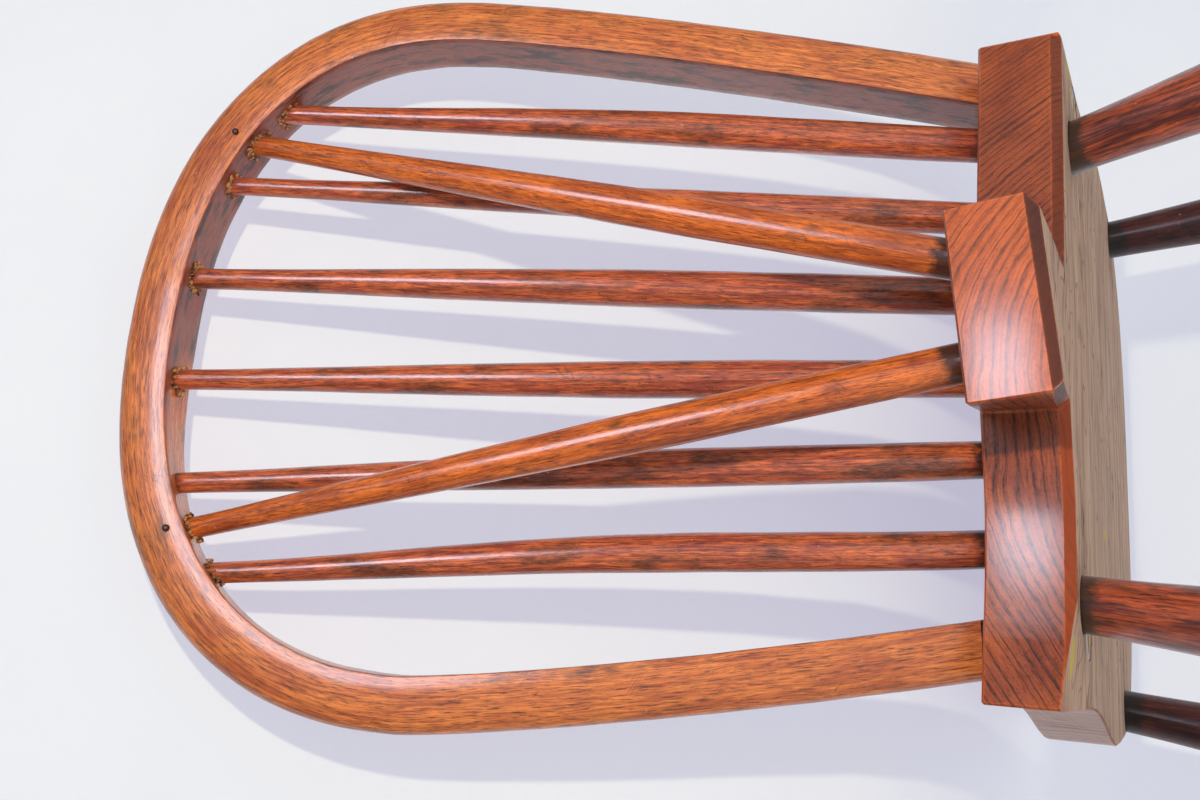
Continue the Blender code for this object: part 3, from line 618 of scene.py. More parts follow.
    def _varnished(
        self,
        wire: Wiring,
        rings: bpy.types.bpy_prop_collection,
        fine: bpy.types.bpy_prop_collection,
        pores: Socket,
        broad: Socket,
        x: Socket,
        y: Socket,
        normal_y: Socket,
        normal_z: Socket,
        place: Socket,
    ) -> Socket:
        """Colour of the varnished faces.

        Args:
            wire: The material's wiring.
            rings: Outputs of the wide growth rings.
            fine: Outputs of the fine growth rings.
            pores: Fine noise.
            broad: Broad noise.
            x: The place across the chair.
            y: The place along the chair's depth.
            normal_y: How far the face looks backwards.
            normal_z: How far the face looks up.
            place: The place on the seat.

        Returns:
            The colour.
        """
        on_tail = wire.math("MULTIPLY", wire.spread(y, 0.176, 0.182), wire.spread(normal_y, 0.6, 0.9))
        light = wire.blend(on_tail, self.edge_light, self.tail_light)
        middle = wire.blend(on_tail, self.edge_middle, self.tail_middle)
        colour = wire.blend(wire.spread(broad, 0.36, 0.62), middle, light)
        dark = wire.blend(on_tail, self.edge_dark, self.tail_dark)
        colour = wire.blend(wire.math("MULTIPLY", fine["Line"], 0.35), colour, dark)
        colour = wire.blend(wire.math("MULTIPLY", rings["Line"], 0.85), colour, dark)
        colour = wire.blend(wire.math("MULTIPLY", rings["Fleck"], 0.45), colour, dark)
        speck = wire.math("MULTIPLY", wire.spread(pores, 0.55, 0.66), 0.35)
        colour = wire.blend(speck, colour, dark)
        steep = wire.math("ABSOLUTE", normal_z)
        chamfer = wire.math("MULTIPLY", wire.spread(steep, 0.30, 0.42), wire.spread(steep, 0.93, 0.80))
        backwards = wire.math("MULTIPLY", chamfer, wire.spread(y, 0.10, 0.112))
        along_x = wire.spread(x, -0.04, 0.01)
        strip = wire.blend(along_x, self.strip_left, self.strip_right)
        colour = wire.blend(wire.math("MULTIPLY", backwards, 0.7), colour, strip)
        # The tail's chamfers are darkened: painted shade for its lower chamfer, which is turned away from the
        # light.
        tail_chamfer = wire.math("MULTIPLY", backwards, wire.spread(y, 0.132, 0.142))
        colour = wire.blend(wire.math("MULTIPLY", tail_chamfer, 0.8), colour, self.tail_strip)
        worn_top = wire.math("MULTIPLY", wire.spread(normal_z, 0.7, 0.95), wire.spread(broad, 0.40, 0.68))
        colour = wire.blend(wire.math("MULTIPLY", worn_top, 0.45), colour, self.top_worn)
        rub = wire.group(GROUPS.rub(), {"Position": place, "Radius": 0.0024, "Breakup": 260.0}).outputs[0]
        return wire.blend(wire.math("MULTIPLY", rub, 0.85), colour, self.rubbed)

    def _bare(self, wire: Wiring, place: Socket, x: Socket, y: Socket) -> tuple[Socket, Socket]:
        """Colour and relief of the bare weathered wood.

        Args:
            wire: The material's wiring.
            place: The place on the seat.
            x: The place across the chair.
            y: The place along the chair's depth.

        Returns:
            The colour and the height.
        """
        drift = wire.noise(place, 9.0, detail=2.0)
        bent_y = wire.math("ADD", y, wire.math("MULTIPLY", drift, 0.05))
        lines_at = wire.join(wire.math("MULTIPLY", x, 18.0), wire.math("MULTIPLY", bent_y, 260.0), 0.0)
        lines = wire.noise(lines_at, 1.0, detail=5.0, rough=0.65)
        wide_at = wire.join(wire.math("MULTIPLY", x, 7.0), wire.math("MULTIPLY", bent_y, 70.0), 2.0)
        wide = wire.noise(wide_at, 1.0, detail=4.0, rough=0.6)
        colour = wire.blend(wire.spread(wide, 0.36, 0.64), self.bare_middle, self.bare_light)
        colour = wire.blend(wire.spread(lines, 0.52, 0.70, 0.0, 0.75), colour, self.bare_dark)
        loops_at = wire.join(wire.math("MULTIPLY", x, 9.0), wire.math("MULTIPLY", y, 26.0), 5.0)
        loops = wire.math("FRACT", wire.math("MULTIPLY", wire.noise(loops_at, 1.0, detail=1.0), 9.0))
        loop = wire.spread(loops, 0.90, 1.0)
        patch = wire.spread(wire.noise(place, 8.0, detail=1.0), 0.42, 0.52)
        shown = wire.math("MULTIPLY", wire.math("MULTIPLY", loop, patch), 0.8)
        colour = wire.blend(shown, colour, self.bare_loop)
        crack_at = wire.join(wire.math("MULTIPLY", x, 14.0), wire.math("MULTIPLY", bent_y, 150.0), 9.0)
        value = wire.noise(crack_at, 1.0, detail=3.0, rough=0.5)
        away = wire.math("ABSOLUTE", wire.math("SUBTRACT", value, 0.5))
        where = wire.spread(wire.noise(place, 17.0, detail=2.0), 0.55, 0.62)
        crack = wire.math("MULTIPLY", wire.spread(away, 0.016, 0.006), where)
        colour = wire.blend(wire.math("MULTIPLY", crack, 0.9), colour, self.bare_crack)
        height = wire.math("SUBTRACT", wire.math("MULTIPLY", lines, 1.3), wire.math("MULTIPLY", crack, 1.6))
        return colour, height

    def _residue(
        self, wire: Wiring, x: Socket, y: Socket, outside: Socket, place: Socket, colour: Socket
    ) -> Socket:
        """Add the dried yellow spots under the seat.

        Args:
            wire: The material's wiring.
            x: The place across the chair.
            y: The place along the chair's depth.
            outside: Where the bare underside shows.
            place: The place on the seat.
            colour: The colour so far.

        Returns:
            The colour with the spots.
        """
        ragged = wire.math("MULTIPLY", wire.math("SUBTRACT", wire.noise(place, 330.0, detail=3.0), 0.5), 1.5)
        for centre_x, centre_y, half_x, half_y in self.residue_places:
            across = wire.math("DIVIDE", wire.math("SUBTRACT", x, centre_x), half_x)
            deep = wire.math("DIVIDE", wire.math("SUBTRACT", y, centre_y), half_y)
            round_off = wire.math(
                "ADD", wire.math("MULTIPLY", across, across), wire.math("MULTIPLY", deep, deep)
            )
            spot = wire.spread(wire.math("ADD", round_off, ragged), 1.0, 0.75)
            shown = wire.math("MULTIPLY", spot, outside)
            colour = wire.blend(wire.math("MULTIPLY", shown, 0.9), colour, self.residue)
        return colour


@dataclass(frozen=True)
class PinFinish:
    """A worn pin in the varnish: a browned middle in a black ring."""

    name: str = "worn_pin"
    middle: Colour = linear(134, 92, 82)
    ring: Colour = linear(24, 16, 16)

    def build(self) -> bpy.types.Material:
        """Make the material.

        Returns:
            The finished material.
        """
        material, wire, shader = new_material(self.name)
        wood = wire.add("ShaderNodeAttribute", attribute_name=WOOD).outputs["Vector"]
        x, y, _ = wire.split(wood)
        flat = wire.join(x, y, 0.0)
        radius = wire.add("ShaderNodeVectorMath", {0: flat}, operation="LENGTH").outputs["Value"]
        pits = wire.noise(wood, 2600.0, detail=3.0)
        middle = wire.blend(wire.spread(pits, 0.40, 0.62), self.middle, self.ring)
        colour = wire.blend(wire.spread(radius, 0.00095, 0.00125), middle, self.ring)
        wire.feed(shader.inputs["Base Color"], colour)
        wire.feed(shader.inputs["Roughness"], wire.spread(pits, 0.3, 0.7, 0.35, 0.6))
        shader.inputs["Metallic"].default_value = 0.3
        bump = wire.add("ShaderNodeBump", {"Strength": 0.4, "Distance": 0.0003, "Height": pits})
        wire.feed(shader.inputs["Normal"], bump.outputs[0])
        return material


@dataclass(frozen=True)
class PlainFinish:
    """A small piece's finish: one colour broken up by noise.

    Attributes:
        name: The material's name.
        light: The paler colour.
        dark: The darker colour.
        scale: How fine the noise is.
        roughness: The surface's roughness.
        metallic: The metalness.
        bump: Strength of the relief.
    """

    name: str
    light: Colour
    dark: Colour
    scale: float = 600.0
    roughness: float = 0.6
    metallic: float = 0.0
    bump: float = 0.4

    def build(self) -> bpy.types.Material:
        """Make the material.

        Returns:
            The finished material.
        """
        material, wire, shader = new_material(self.name)
        place = wire.add("ShaderNodeTexCoord").outputs["Object"]
        value = wire.noise(place, self.scale, detail=4.0, rough=0.65)
        colour = wire.blend(wire.spread(value, 0.38, 0.62), self.dark, self.light)
        wire.feed(shader.inputs["Base Color"], colour)
        rough = wire.spread(value, 0.3, 0.7, self.roughness - 0.1, self.roughness + 0.1)
        wire.feed(shader.inputs["Roughness"], rough)
        shader.inputs["Metallic"].default_value = self.metallic
        bump = wire.add("ShaderNodeBump", {"Strength": self.bump, "Distance": 0.0004, "Height": value})
        wire.feed(shader.inputs["Normal"], bump.outputs[0])
        return material


# Drawing of meshes


@dataclass
class Ring:
    """One closed ring of a lofted piece.

    Attributes:
        points: Its points, in the row frame.
        wood: The same points in the straightened wood: across, behind, along.
    """

    points: list[Vector]
    wood: list[Vector]


def softened(profile: Profile, share: float, reach: float = 0.06) -> float:
    """The profile's radius averaged over a short stretch.

    Args:
        profile: (share, radius) pairs.
        share: Where to read it, 0 to 1.
        reach: Half the stretch.

    Returns:
        The radius.
    """

    def at(place: float) -> float:
        """Read the profile at one place."""
        place = min(1.0, max(0.0, place))
        for (low, first), (high, last) in zip(profile, profile[1:]):
            if place <= high:
                return first + (last - first) * (place - low) / (high - low)
        return profile[-1][1]

    steps = (-1.0, -0.5, 0.0, 0.5, 1.0)
    return sum(at(share + reach * step) for step in steps) / len(steps)


def loft(
    name: str, rings: Sequence[Ring], ends: Callable[[float], tuple[float, float]], seed: float
) -> bpy.types.Object:
    """Skin a row of rings into one closed piece with its wood coordinates.

    Args:
        name: The piece's name.
        rings: The rings in order, with equal counts.
        ends: From the distance along the wood, the distances from the seat and from the bow.
        seed: A number that sets this piece's grain apart.

    Returns:
        The piece.
    """
    count = len(rings[0].points)
    points: list[Vector] = []
    wood: list[Vector] = []
    for ring in rings:
        points += ring.points
        wood += ring.wood
    faces = []
    for low in range(len(rings) - 1):
        for index in range(count):
            after = (index + 1) % count
            base, top = low * count, (low + 1) * count
            faces.append((base + index, base + after, top + after, top + index))
    for ring, start in ((rings[0], 0), (rings[-1], (len(rings) - 1) * count)):
        hub = len(points)
        points.append(sum(ring.points, Vector()) / count)
        wood.append(sum(ring.wood, Vector()) / count)
        for index in range(count):
            faces.append((start + index, start + (index + 1) % count, hub))
    mesh = bpy.data.meshes.new(name)
    mesh.from_pydata([tuple(point) for point in points], [], faces)
    straight = mesh.attributes.new(WOOD, "FLOAT_VECTOR", "POINT")
    reach = mesh.attributes.new(ENDS, "FLOAT_VECTOR", "POINT")
    for index, place in enumerate(wood):
        straight.data[index].vector = place
        reach.data[index].vector = (*ends(place.z), seed)
    shape = bmesh.new()
    shape.from_mesh(mesh)
    bmesh.ops.recalc_face_normals(shape, faces=shape.faces)
    shape.to_mesh(mesh)
    shape.free()
    mesh.shade_smooth()
    mesh.set_sharp_from_angle(angle=math.radians(42))
    piece = bpy.data.objects.new(name, mesh)
    bpy.context.scene.collection.objects.link(piece)
    return piece


def uneven(place: Vector, seed: float, size: float) -> float:
    """A smooth random number about zero at this place, for hand-made unevenness."""
    return noise.noise(place * size + Vector((seed * 31.0, seed * 17.0, seed * 7.0)))


def settle(piece: bpy.types.Object, nodes: Sequence[str], material: bpy.types.Material) -> None:
    """Give a piece its material, its body and the nodes that it stands for."""
    piece.data.materials.clear()
    piece.data.materials.append(material)
    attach(piece, "root")
    if nodes:
        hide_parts(*nodes)
    LOG.info("%s: %d faces, for %s", piece.name, len(piece.data.polygons), ", ".join(nodes) or "no node")


def seat_point(x: float, y: float, z: float = SEAT_THICKNESS) -> Vector:
    """A point of the seat: x and y in its plan, z above its underside."""
    return Vector((x, y, SEAT_UNDERSIDE + z)) + SHIFT


# The back


@dataclass
class Back:
    """The leaning plane of the back, and the bow's centre line in it."""

    rake: float = math.radians(24.8)
    set_back: float = 0.0384
    half: float = 0.1888
    foot_half: float = 0.1475
    shoulder: float = 0.290
    rise: float = 0.1594
    squareness: float = 2.25
    arm_curve: float = 1.3
    foot_shift: float = -0.0090
    slant: float = 0.22
    width: float = 0.0285
    depth: float = 0.0300

    @property
    def up(self) -> Vector:
        """The way up the back."""
        return Vector((0.0, math.sin(self.rake), math.cos(self.rake)))

    @property
    def out(self) -> Vector:
        """The way out behind the back."""
        return Vector((0.0, math.cos(self.rake), -math.sin(self.rake)))

    def point(self, x: float, up: float, out: float = 0.0) -> Vector:
        """A point of the back: x across, up its plane, out behind it."""
        return seat_point(x, -self.set_back) + self.up * up + self.out * out

    def arch(self, share: float) -> Vector:
        """A point (x, up) of the arch, for -1 to 1 from its left end to its right."""
        angle = math.pi / 2 * (1 - abs(share))
        power = 2 / self.squareness
        x = self.half * math.cos(angle) ** power
        return Vector((math.copysign(x, share), self.shoulder + self.rise * math.sin(angle) ** power))

    def arch_height(self, x: float) -> float:
        """How far up the back the arch passes over this x."""
        share = min(1.0, abs(x) / self.half)
        return self.shoulder + self.rise * (1 - share**self.squareness) ** (1 / self.squareness)

    def arch_outward(self, x: float) -> Vector:
        """The outward way of the arch in the back's plane, over this x."""
        step = 0.0005
        slope = (self.arch_height(x + step) - self.arch_height(x - step)) / (2 * step)
        return (self.up - ACROSS * slope).normalized()

    def arm_x(self, side: Side, up: float) -> float:
        """Where an arm's centre line stands across, at this height."""
        share = (self.shoulder - up) / self.shoulder
        spread = self.half - (self.half - self.foot_half) * share**self.arm_curve
        return side.value * spread + self.foot_shift * share

    def foot_way(self, side: Side) -> Vector:
        """The way up an arm where it stands on the seat."""
        step = 0.0001
        lean = (self.arm_x(side, step) - self.arm_x(side, 0.0)) / step
        return (ACROSS * lean + self.up).normalized()

    def lean_at(self, x: float, up: float) -> float:
        """How much the bow's section leans outward over its depth here."""
        if x <= 0 or up <= self.shoulder:
            return 0.0
        return self.slant * math.sin(2 * math.atan2(up - self.shoulder, x)) ** 2


@dataclass
class Bow:
    """The bent bow: one square stick with a crowned outer half, on two round tenons."""

    back: Back
    dents: float = 0.00044
    ripples: float = 0.00014
    heart: float = 0.014
    crown: float = 4.0
    arris: float = 0.0007
    tenon_radius: float = 0.0115
    arm_steps: int = 64
    arch_steps: int = 150
    seed: float = 0.31

    def section(self) -> list[Vector]:
        """Section points (outward, behind), with the inner arrises barely eased."""
        width, depth = self.back.width, self.back.depth
        inner = -width / 2
        power = 2 / self.crown
        steps = 30
        points = []
        for step in range(1, steps):
            angle = math.pi * (step / steps - 0.5)
            outward = inner + width * math.cos(angle) ** power
            behind = math.copysign(depth / 2 * abs(math.sin(angle)) ** power, angle)
            points.append(Vector((outward, behind)))
        points = [point for point in points if point.x > inner + self.arris]
        ease = self.arris
        for outward, behind in ((ease, 0.0), (ease * 0.3, ease * 0.3), (0.0, ease)):
            points.append(Vector((inner + outward, depth / 2 - behind)))
        for step in range(1, 6):
            points.append(Vector((inner, depth * (0.5 - step / 6))))
        for outward, behind in ((0.0, ease), (ease * 0.3, ease * 0.3), (ease, 0.0)):
            points.append(Vector((inner + outward, behind - depth / 2)))
        return points

    def stations(self) -> list[Vector]:
        """Points (x, up) along the centre line above the seat."""
        heights = [self.back.shoulder * step / self.arm_steps for step in range(2, self.arm_steps)]
        left = [Vector((self.back.arm_x(Side.LEFT, up), up)) for up in heights]
        right = [Vector((self.back.arm_x(Side.RIGHT, up), up)) for up in reversed(heights)]
        arch = [self.back.arch(2 * step / self.arch_steps - 1) for step in range(self.arch_steps + 1)]
        return left + arch + right

    def foot(self, section: Sequence[Vector], side: Side, along: float) -> list[Ring]:
        """Rings that end an arm, upwards from the tenon's end.

        Args:
            section: The bow's section.
            side: Which arm.
            along: The wood's coordinate at the foot.

        Returns:
            The rings.
        """
        way = self.back.foot_way(side)
        outward = side.value * self.back.out.cross(way)
        middle = self.back.point(self.back.arm_x(side, 0.0), 0.0)
        tenon = [point.normalized() * self.tenon_radius for point in section]
        rings = []
        for points, height in (
            (tenon, SEAT_UNDERSIDE + 0.0003),
            (tenon, SEAT_HEIGHT - 0.002),
            (section, SEAT_HEIGHT - 0.002),
            (section, SEAT_HEIGHT + 0.004),
        ):
            placed = [middle + outward * point.x + self.back.out * point.y for point in points]
            slid = [each + way * ((height - each.z) / way.z) for each in placed]
            wood = [Vector((point.x, point.y, along)) for point in points]
            rings.append(Ring(slid, wood))
        return rings

    def make(self, material: bpy.types.Material) -> bpy.types.Object:
        """Build the bow and dress it.

        Args:
            material: Its finish.

        Returns:
            The piece.
        """
        section = self.section()
        stations = self.stations()
        body: list[Ring] = []
        along = 0.012
        for index, middle in enumerate(stations):
            before = stations[max(0, index - 1)]
            after = stations[min(len(stations) - 1, index + 1)]
            if index:
                along += (middle - before).length
            way = (after - before).normalized()
            body.append(self._ring(section, middle, Vector((-way.y, way.x)), along))
        total = along + 0.012
        rings = self.foot(section, Side.LEFT, 0.0) + body + self.foot(section, Side.RIGHT, total)[::-1]
        piece = loft("bent_bow", rings, lambda place: (min(place, total - place), 1.0), self.seed)
        settle(piece, ["bow"], material)
        return piece

    def _ring(self, section: Sequence[Vector], middle: Vector, outward: Vector, along: float) -> Ring:
        """One ring of the bow's body."""
        lean = self.back.lean_at(middle.x, middle.y)
        points, wood = [], []
        for point in section:
            slid = point.x + lean * (self.back.depth / 2 - point.y)
            place = Vector((slid, point.y, along))
            rough = self.dents * abs(uneven(place, self.seed, 26.0))
            rough += self.ripples * abs(uneven(place, self.seed, 130.0))
            grown = 1.0 - rough / self.heart
            flat = middle + outward * slid * grown
            points.append(self.back.point(flat.x, flat.y, point.y * grown))
            wood.append(place)
        return Ring(points, wood)


@dataclass
class RoundStick:
    """A hand-turned stick between the seat and the bow.

    Attributes:
        name: The piece's name.
        node: The CAD node that it stands for.
        foot: Where its axis leaves the seat.
        head: Where its axis meets the bow's centre line.
        profile: (share, radius) pairs from the foot to the bow.
        girth: A factor on every radius.
        bend: How far its middle bows sideways, in metres.
        tip: How far short of the head the shown length ends.
        seed: A number that sets its grain apart.
        slot: The record's material slot.
    """

    name: str
    node: str
    foot: Vector
    head: Vector
    profile: Profile
    girth: float
    bend: float
    tip: float
    seed: float
    slot: str
    steps: int = 84
    sides: int = 26
    sunk: float = 0.006
    lumps: float = 0.022
    oval: float = 0.010

    def make(self, material: bpy.types.Material) -> bpy.types.Object:
        """Build the stick and dress it.

        Args:
            material: Its finish.

        Returns:
            The piece.
        """
        way = (self.head - self.foot).normalized()
        shoulder = self.head - way * self.tip
        shown = (shoulder - self.foot).length
        side = ACROSS - way * ACROSS.dot(way)
        side.normalize()
        other = way.cross(side)
        rings = []
        places = [-self.sunk, -0.001]
        places += [shown * step / self.steps for step in range(self.steps + 1)]
        places += [shown + self.tip * 0.5, shown + self.tip * 0.95]
        for place in places:
            share = min(1.0, max(0.0, place / shown))
            middle = self.foot + way * place + ACROSS * self.bend * math.sin(math.pi * share) ** 2
            radius = softened(self.profile, share) * self.girth
            points, wood = [], []
            for step in range(self.sides):
                angle = math.tau * step / self.sides
                flat = side * math.cos(angle) + other * math.sin(angle)
                at = Vector((math.cos(angle) * 0.010, math.sin(angle) * 0.010, place))
                rough = 1.0 + self.lumps * uneven(at, self.seed, 34.0)
                rough += self.oval * math.cos(2 * angle + self.seed * 40)
                points.append(middle + flat * radius * rough)
                wood.append(Vector((math.cos(angle) * radius, math.sin(angle) * radius, place)))
            rings.append(Ring(points, wood))
        piece = loft(self.name, rings, lambda along: (along, shown - along), self.seed)
        settle(piece, [self.node], material)
        return piece


@dataclass
class StickSet:
    """The back's sticks and the two braces."""

    back: Back
    seat_x: tuple = (-0.1238, -0.0805, -0.0370, 0.0064, 0.0475, 0.0914)
    seat_y: tuple = (-0.032, -0.029, -0.027, -0.027, -0.029, -0.032)
    bow_x: tuple = (-0.1325, -0.0865, -0.0295, 0.0295, 0.0865, 0.1325)
    girth: tuple = (0.92, 0.87, 1.00, 0.97, 0.97, 0.96)
    bend: tuple = (-0.0020, 0.0, -0.0003, 0.0003, -0.0005, -0.0034)
    profile: Profile = (
        (0.0, 0.0098), (0.16, 0.0103), (0.42, 0.0104), (0.66, 0.0086), (0.88, 0.0063), (1.0, 0.0057)
    )
    brace_tail_x: tuple = (-0.0316, 0.0166)
    brace_tail_y: float = 0.042
    brace_bow_x: tuple = (-0.1138, 0.1122)
    brace_profile: Profile = (
        (0.0, 0.0093), (0.10, 0.0097), (0.38, 0.0101), (0.64, 0.0084), (0.88, 0.0063), (1.0, 0.0057)
    )
    tail_root_y: float = 0.006
    tail_length: float = 0.058
    tail_twist: float = math.radians(6.5)

    def tail_top(self, x: float, y: float) -> Vector:
        """The point on the tail's twisted top above this place in plan."""
        share = (y - self.tail_root_y) / self.tail_length
        return seat_point(x, y) - Vector((0.0, 0.0, x * math.tan(self.tail_twist * share)))

    def sticks(self) -> list[RoundStick]:
        """The plain sticks of the back, from the left."""
        made = []
        for index, (seat_x, seat_y, bow_x) in enumerate(zip(self.seat_x, self.seat_y, self.bow_x)):
            number = index + 1
            made.append(RoundStick(
                name=f"stick_{number}",
                node=f"back_stick_{number}",
                foot=seat_point(seat_x, seat_y),
                head=self.back.point(bow_x, self.back.arch_height(bow_x)),
                profile=self.profile,
                girth=self.girth[index],
                bend=self.bend[index],
                tip=self.back.width / 2,
                seed=0.137 * number,
                slot="stick_wood",
            ))
        return made

    def braces(self) -> list[RoundStick]:
        """The two braces from the tail to the bow."""
        made = []
        for side, tail_x, bow_x in zip(Side, self.brace_tail_x, self.brace_bow_x):
            made.append(RoundStick(
                name=f"brace_{side.word}",
                node=f"brace_stick_{side.word}",
                foot=self.tail_top(tail_x, self.brace_tail_y),
                head=self.back.point(bow_x, self.back.arch_height(bow_x)),
                profile=self.brace_profile,
                girth=1.0,
                bend=0.0,
                tip=self.back.width / 2,
                seed=0.53 + 0.21 * side.value,
                slot="brace_wood",
            ))
        return made

    def make(self, red: bpy.types.Material, golden: bpy.types.Material) -> list[RoundStick]:
        """Build all sticks.

        Args:
            red: The back sticks' finish.
            golden: The braces' finish.

        Returns:
            Every stick, built.
        """
        sticks, braces = self.sticks(), self.braces()
        for stick in sticks:
            stick.make(red)
        for brace in braces:
            brace.make(golden)
        return sticks + braces


@dataclass
class SocketCrumbs:
    """Crumbs of old filling around the sticks' sockets in the bow, scattered by Geometry Nodes."""

    back: Back
    sticks: Sequence[RoundStick]
    size: float = 0.0015
    ring_points: int = 42
    seed: int = 11
    skipped: tuple = ("stick_5",)

    def mouth(self, stick: RoundStick) -> tuple[Vector, Vector, float]:
        """Where a stick enters the bow's inner face.

        Args:
            stick: The stick.

        Returns:
            The mouth's centre, the face's outward way and the stick's radius.
        """
        way = (stick.head - stick.foot).normalized()
        x = stick.head.x
        outward = self.back.arch_outward(x)
        reach = self.back.width / 2 / max(0.35, way.dot(outward))
        return stick.head - way * reach, outward, stick.profile[-1][1] * stick.girth

    def seeds(self) -> bpy.types.Object:
        """Points around the mouths, for the crumbs to stand on."""
        chance = random.Random(self.seed)
        points = []
        for stick in self.sticks:
            if stick.name in self.skipped:
                continue
            centre, outward, radius = self.mouth(stick)
            side = outward.cross(self.back.out).normalized()
            for step in range(self.ring_points):
                if chance.random() < 0.30:
                    continue
                angle = math.tau * (step + chance.uniform(-0.4, 0.4)) / self.ring_points
                stretch = 1.0 / max(0.5, abs((stick.head - stick.foot).normalized().dot(outward)))
                ring = side * math.cos(angle) * stretch + self.back.out * math.sin(angle)
                reach = radius + 0.0030 * chance.random() ** 2
                points.append(centre + ring * reach - outward * chance.uniform(-0.0002, 0.0006))
        mesh = bpy.data.meshes.new("crumb_places")
        mesh.from_pydata([tuple(point) for point in points], [], [])
        made = bpy.data.objects.new("socket_crumbs", mesh)
        bpy.context.scene.collection.objects.link(made)
        return made

    def tree(self) -> bpy.types.NodeTree:
        """The node tree that puts a crumb on each point."""
        tree = bpy.data.node_groups.new("crumbs", "GeometryNodeTree")
        tree.interface.new_socket(name="Geometry", in_out="INPUT", socket_type="NodeSocketGeometry")
        tree.interface.new_socket(name="Crumb Size", in_out="INPUT", socket_type="NodeSocketFloat")
        tree.interface.new_socket(name="Finish", in_out="INPUT", socket_type="NodeSocketMaterial")
        tree.interface.new_socket(name="Geometry", in_out="OUTPUT", socket_type="NodeSocketGeometry")
        wire = Wiring(tree)
        given, result = wire.add("NodeGroupInput"), wire.add("NodeGroupOutput")
        grain = wire.add("GeometryNodeMeshIcoSphere", {"Radius": 1.0, "Subdivisions": 2})
        wobble = wire.add("ShaderNodeTexNoise", {"Scale": 1.7, "Detail": 2.0})
        centred = wire.vector("SUBTRACT", wobble.outputs["Color"], (0.5, 0.5, 0.5))
        push = wire.add("ShaderNodeVectorMath", {0: centred, "Scale": 1.5}, operation="SCALE")
        lump = wire.add(
            "GeometryNodeSetPosition", {"Geometry": grain.outputs["Mesh"], "Offset": push.outputs["Vector"]}
        )
        turn = wire.add("FunctionNodeRandomValue", {0: (0.0, 0.0, 0.0), 1: (6.28, 6.28, 6.28), "Seed": 3},
                        data_type="FLOAT_VECTOR")
        size = wire.add("FunctionNodeRandomValue", {0: (0.35, 0.35, 0.35), 1: (1.5, 1.1, 0.8), "Seed": 5},
                        data_type="FLOAT_VECTOR")
        sizes = {0: size.outputs[0], "Scale": given.outputs["Crumb Size"]}
        scaled = wire.add("ShaderNodeVectorMath", sizes, operation="SCALE")
        placed = wire.add("GeometryNodeInstanceOnPoints", {
            "Points": given.outputs["Geometry"],
            "Instance": lump.outputs["Geometry"],
            "Rotation": turn.outputs[0],
            "Scale": scaled.outputs["Vector"],
        })
        real = wire.add("GeometryNodeRealizeInstances", {"Geometry": placed.outputs["Instances"]})
        dressed = wire.add(
            "GeometryNodeSetMaterial", {"Geometry": real.outputs[0], "Material": given.outputs["Finish"]}
        )
        wire.feed(result.inputs["Geometry"], dressed.outputs[0])
        return tree

    def make(self, material: bpy.types.Material) -> bpy.types.Object:
        """Build the crumbs.

        Args:
            material: Their finish.

        Returns:
            The piece.
        """
        base = self.seeds()
        scatter = base.modifiers.new("crumbs", "NODES")
        tree = self.tree()
        scatter.node_group = tree
        sockets = {item.name: item.identifier for item in tree.interface.items_tree if item.in_out == "INPUT"}
        scatter[sockets["Crumb Size"]] = self.size
        scatter[sockets["Finish"]] = material
        bpy.context.view_layer.update()
        graph = bpy.context.evaluated_depsgraph_get()
        mesh = bpy.data.meshes.new_from_object(base.evaluated_get(graph))
        base.modifiers.clear()
        base.data = mesh
        settle(base, [], material)
        return base


@dataclass
class PinHeads:
    """The two headless pins in the back of the bow, each in its stained ring."""

    back: Back
    sticks: Sequence[RoundStick]
    from_tip: float = 0.008
    tip_reach: float = 0.002
    sides: int = 24
    outline: tuple = (
        (-0.0190, 0.0010), (-0.0006, 0.0013), (-0.0005, 0.0018), (0.0001, 0.0017), (0.0002, 0.0015),
        (-0.0001, 0.0013), (-0.0001, 0.0012), (0.0001, 0.0010), (0.00022, 0.0006), (0.00026, 0.0001),
    )

    def make(self, material: bpy.types.Material) -> None:
        """Build both pins.

        Args:
            material: Their finish.
        """
        for stick in self.sticks:
            if not stick.name.startswith("brace"):
                continue
            way = (stick.head - stick.foot).normalized()
            middle = stick.head + way * (self.tip_reach - self.from_tip)
            surface = middle + self.back.out * (self.back.depth / 2)
            hand = stick.name.split("_")[1]
            self._head(f"pin_{hand}", f"bow_pin_{hand}", surface, material)

    def _head(self, name: str, node: str, surface: Vector, material: bpy.types.Material) -> None:
        """One pin with its raised, worn ring."""
        rings = []
        side = self.back.up
        for rise, radius in self.outline:
            points, wood = [], []
            for step in range(self.sides):
                angle = math.tau * step / self.sides
                ring = ACROSS * math.cos(angle) + side * math.sin(angle)
                points.append(surface + self.back.out * rise + ring * radius)
                wood.append(Vector((radius * math.cos(angle), radius * math.sin(angle), rise)))
            rings.append(Ring(points, wood))
        piece = loft(name, rings, lambda along: (1.0, 1.0), 0.0)
        settle(piece, [node], material)


# The seat and what carries it


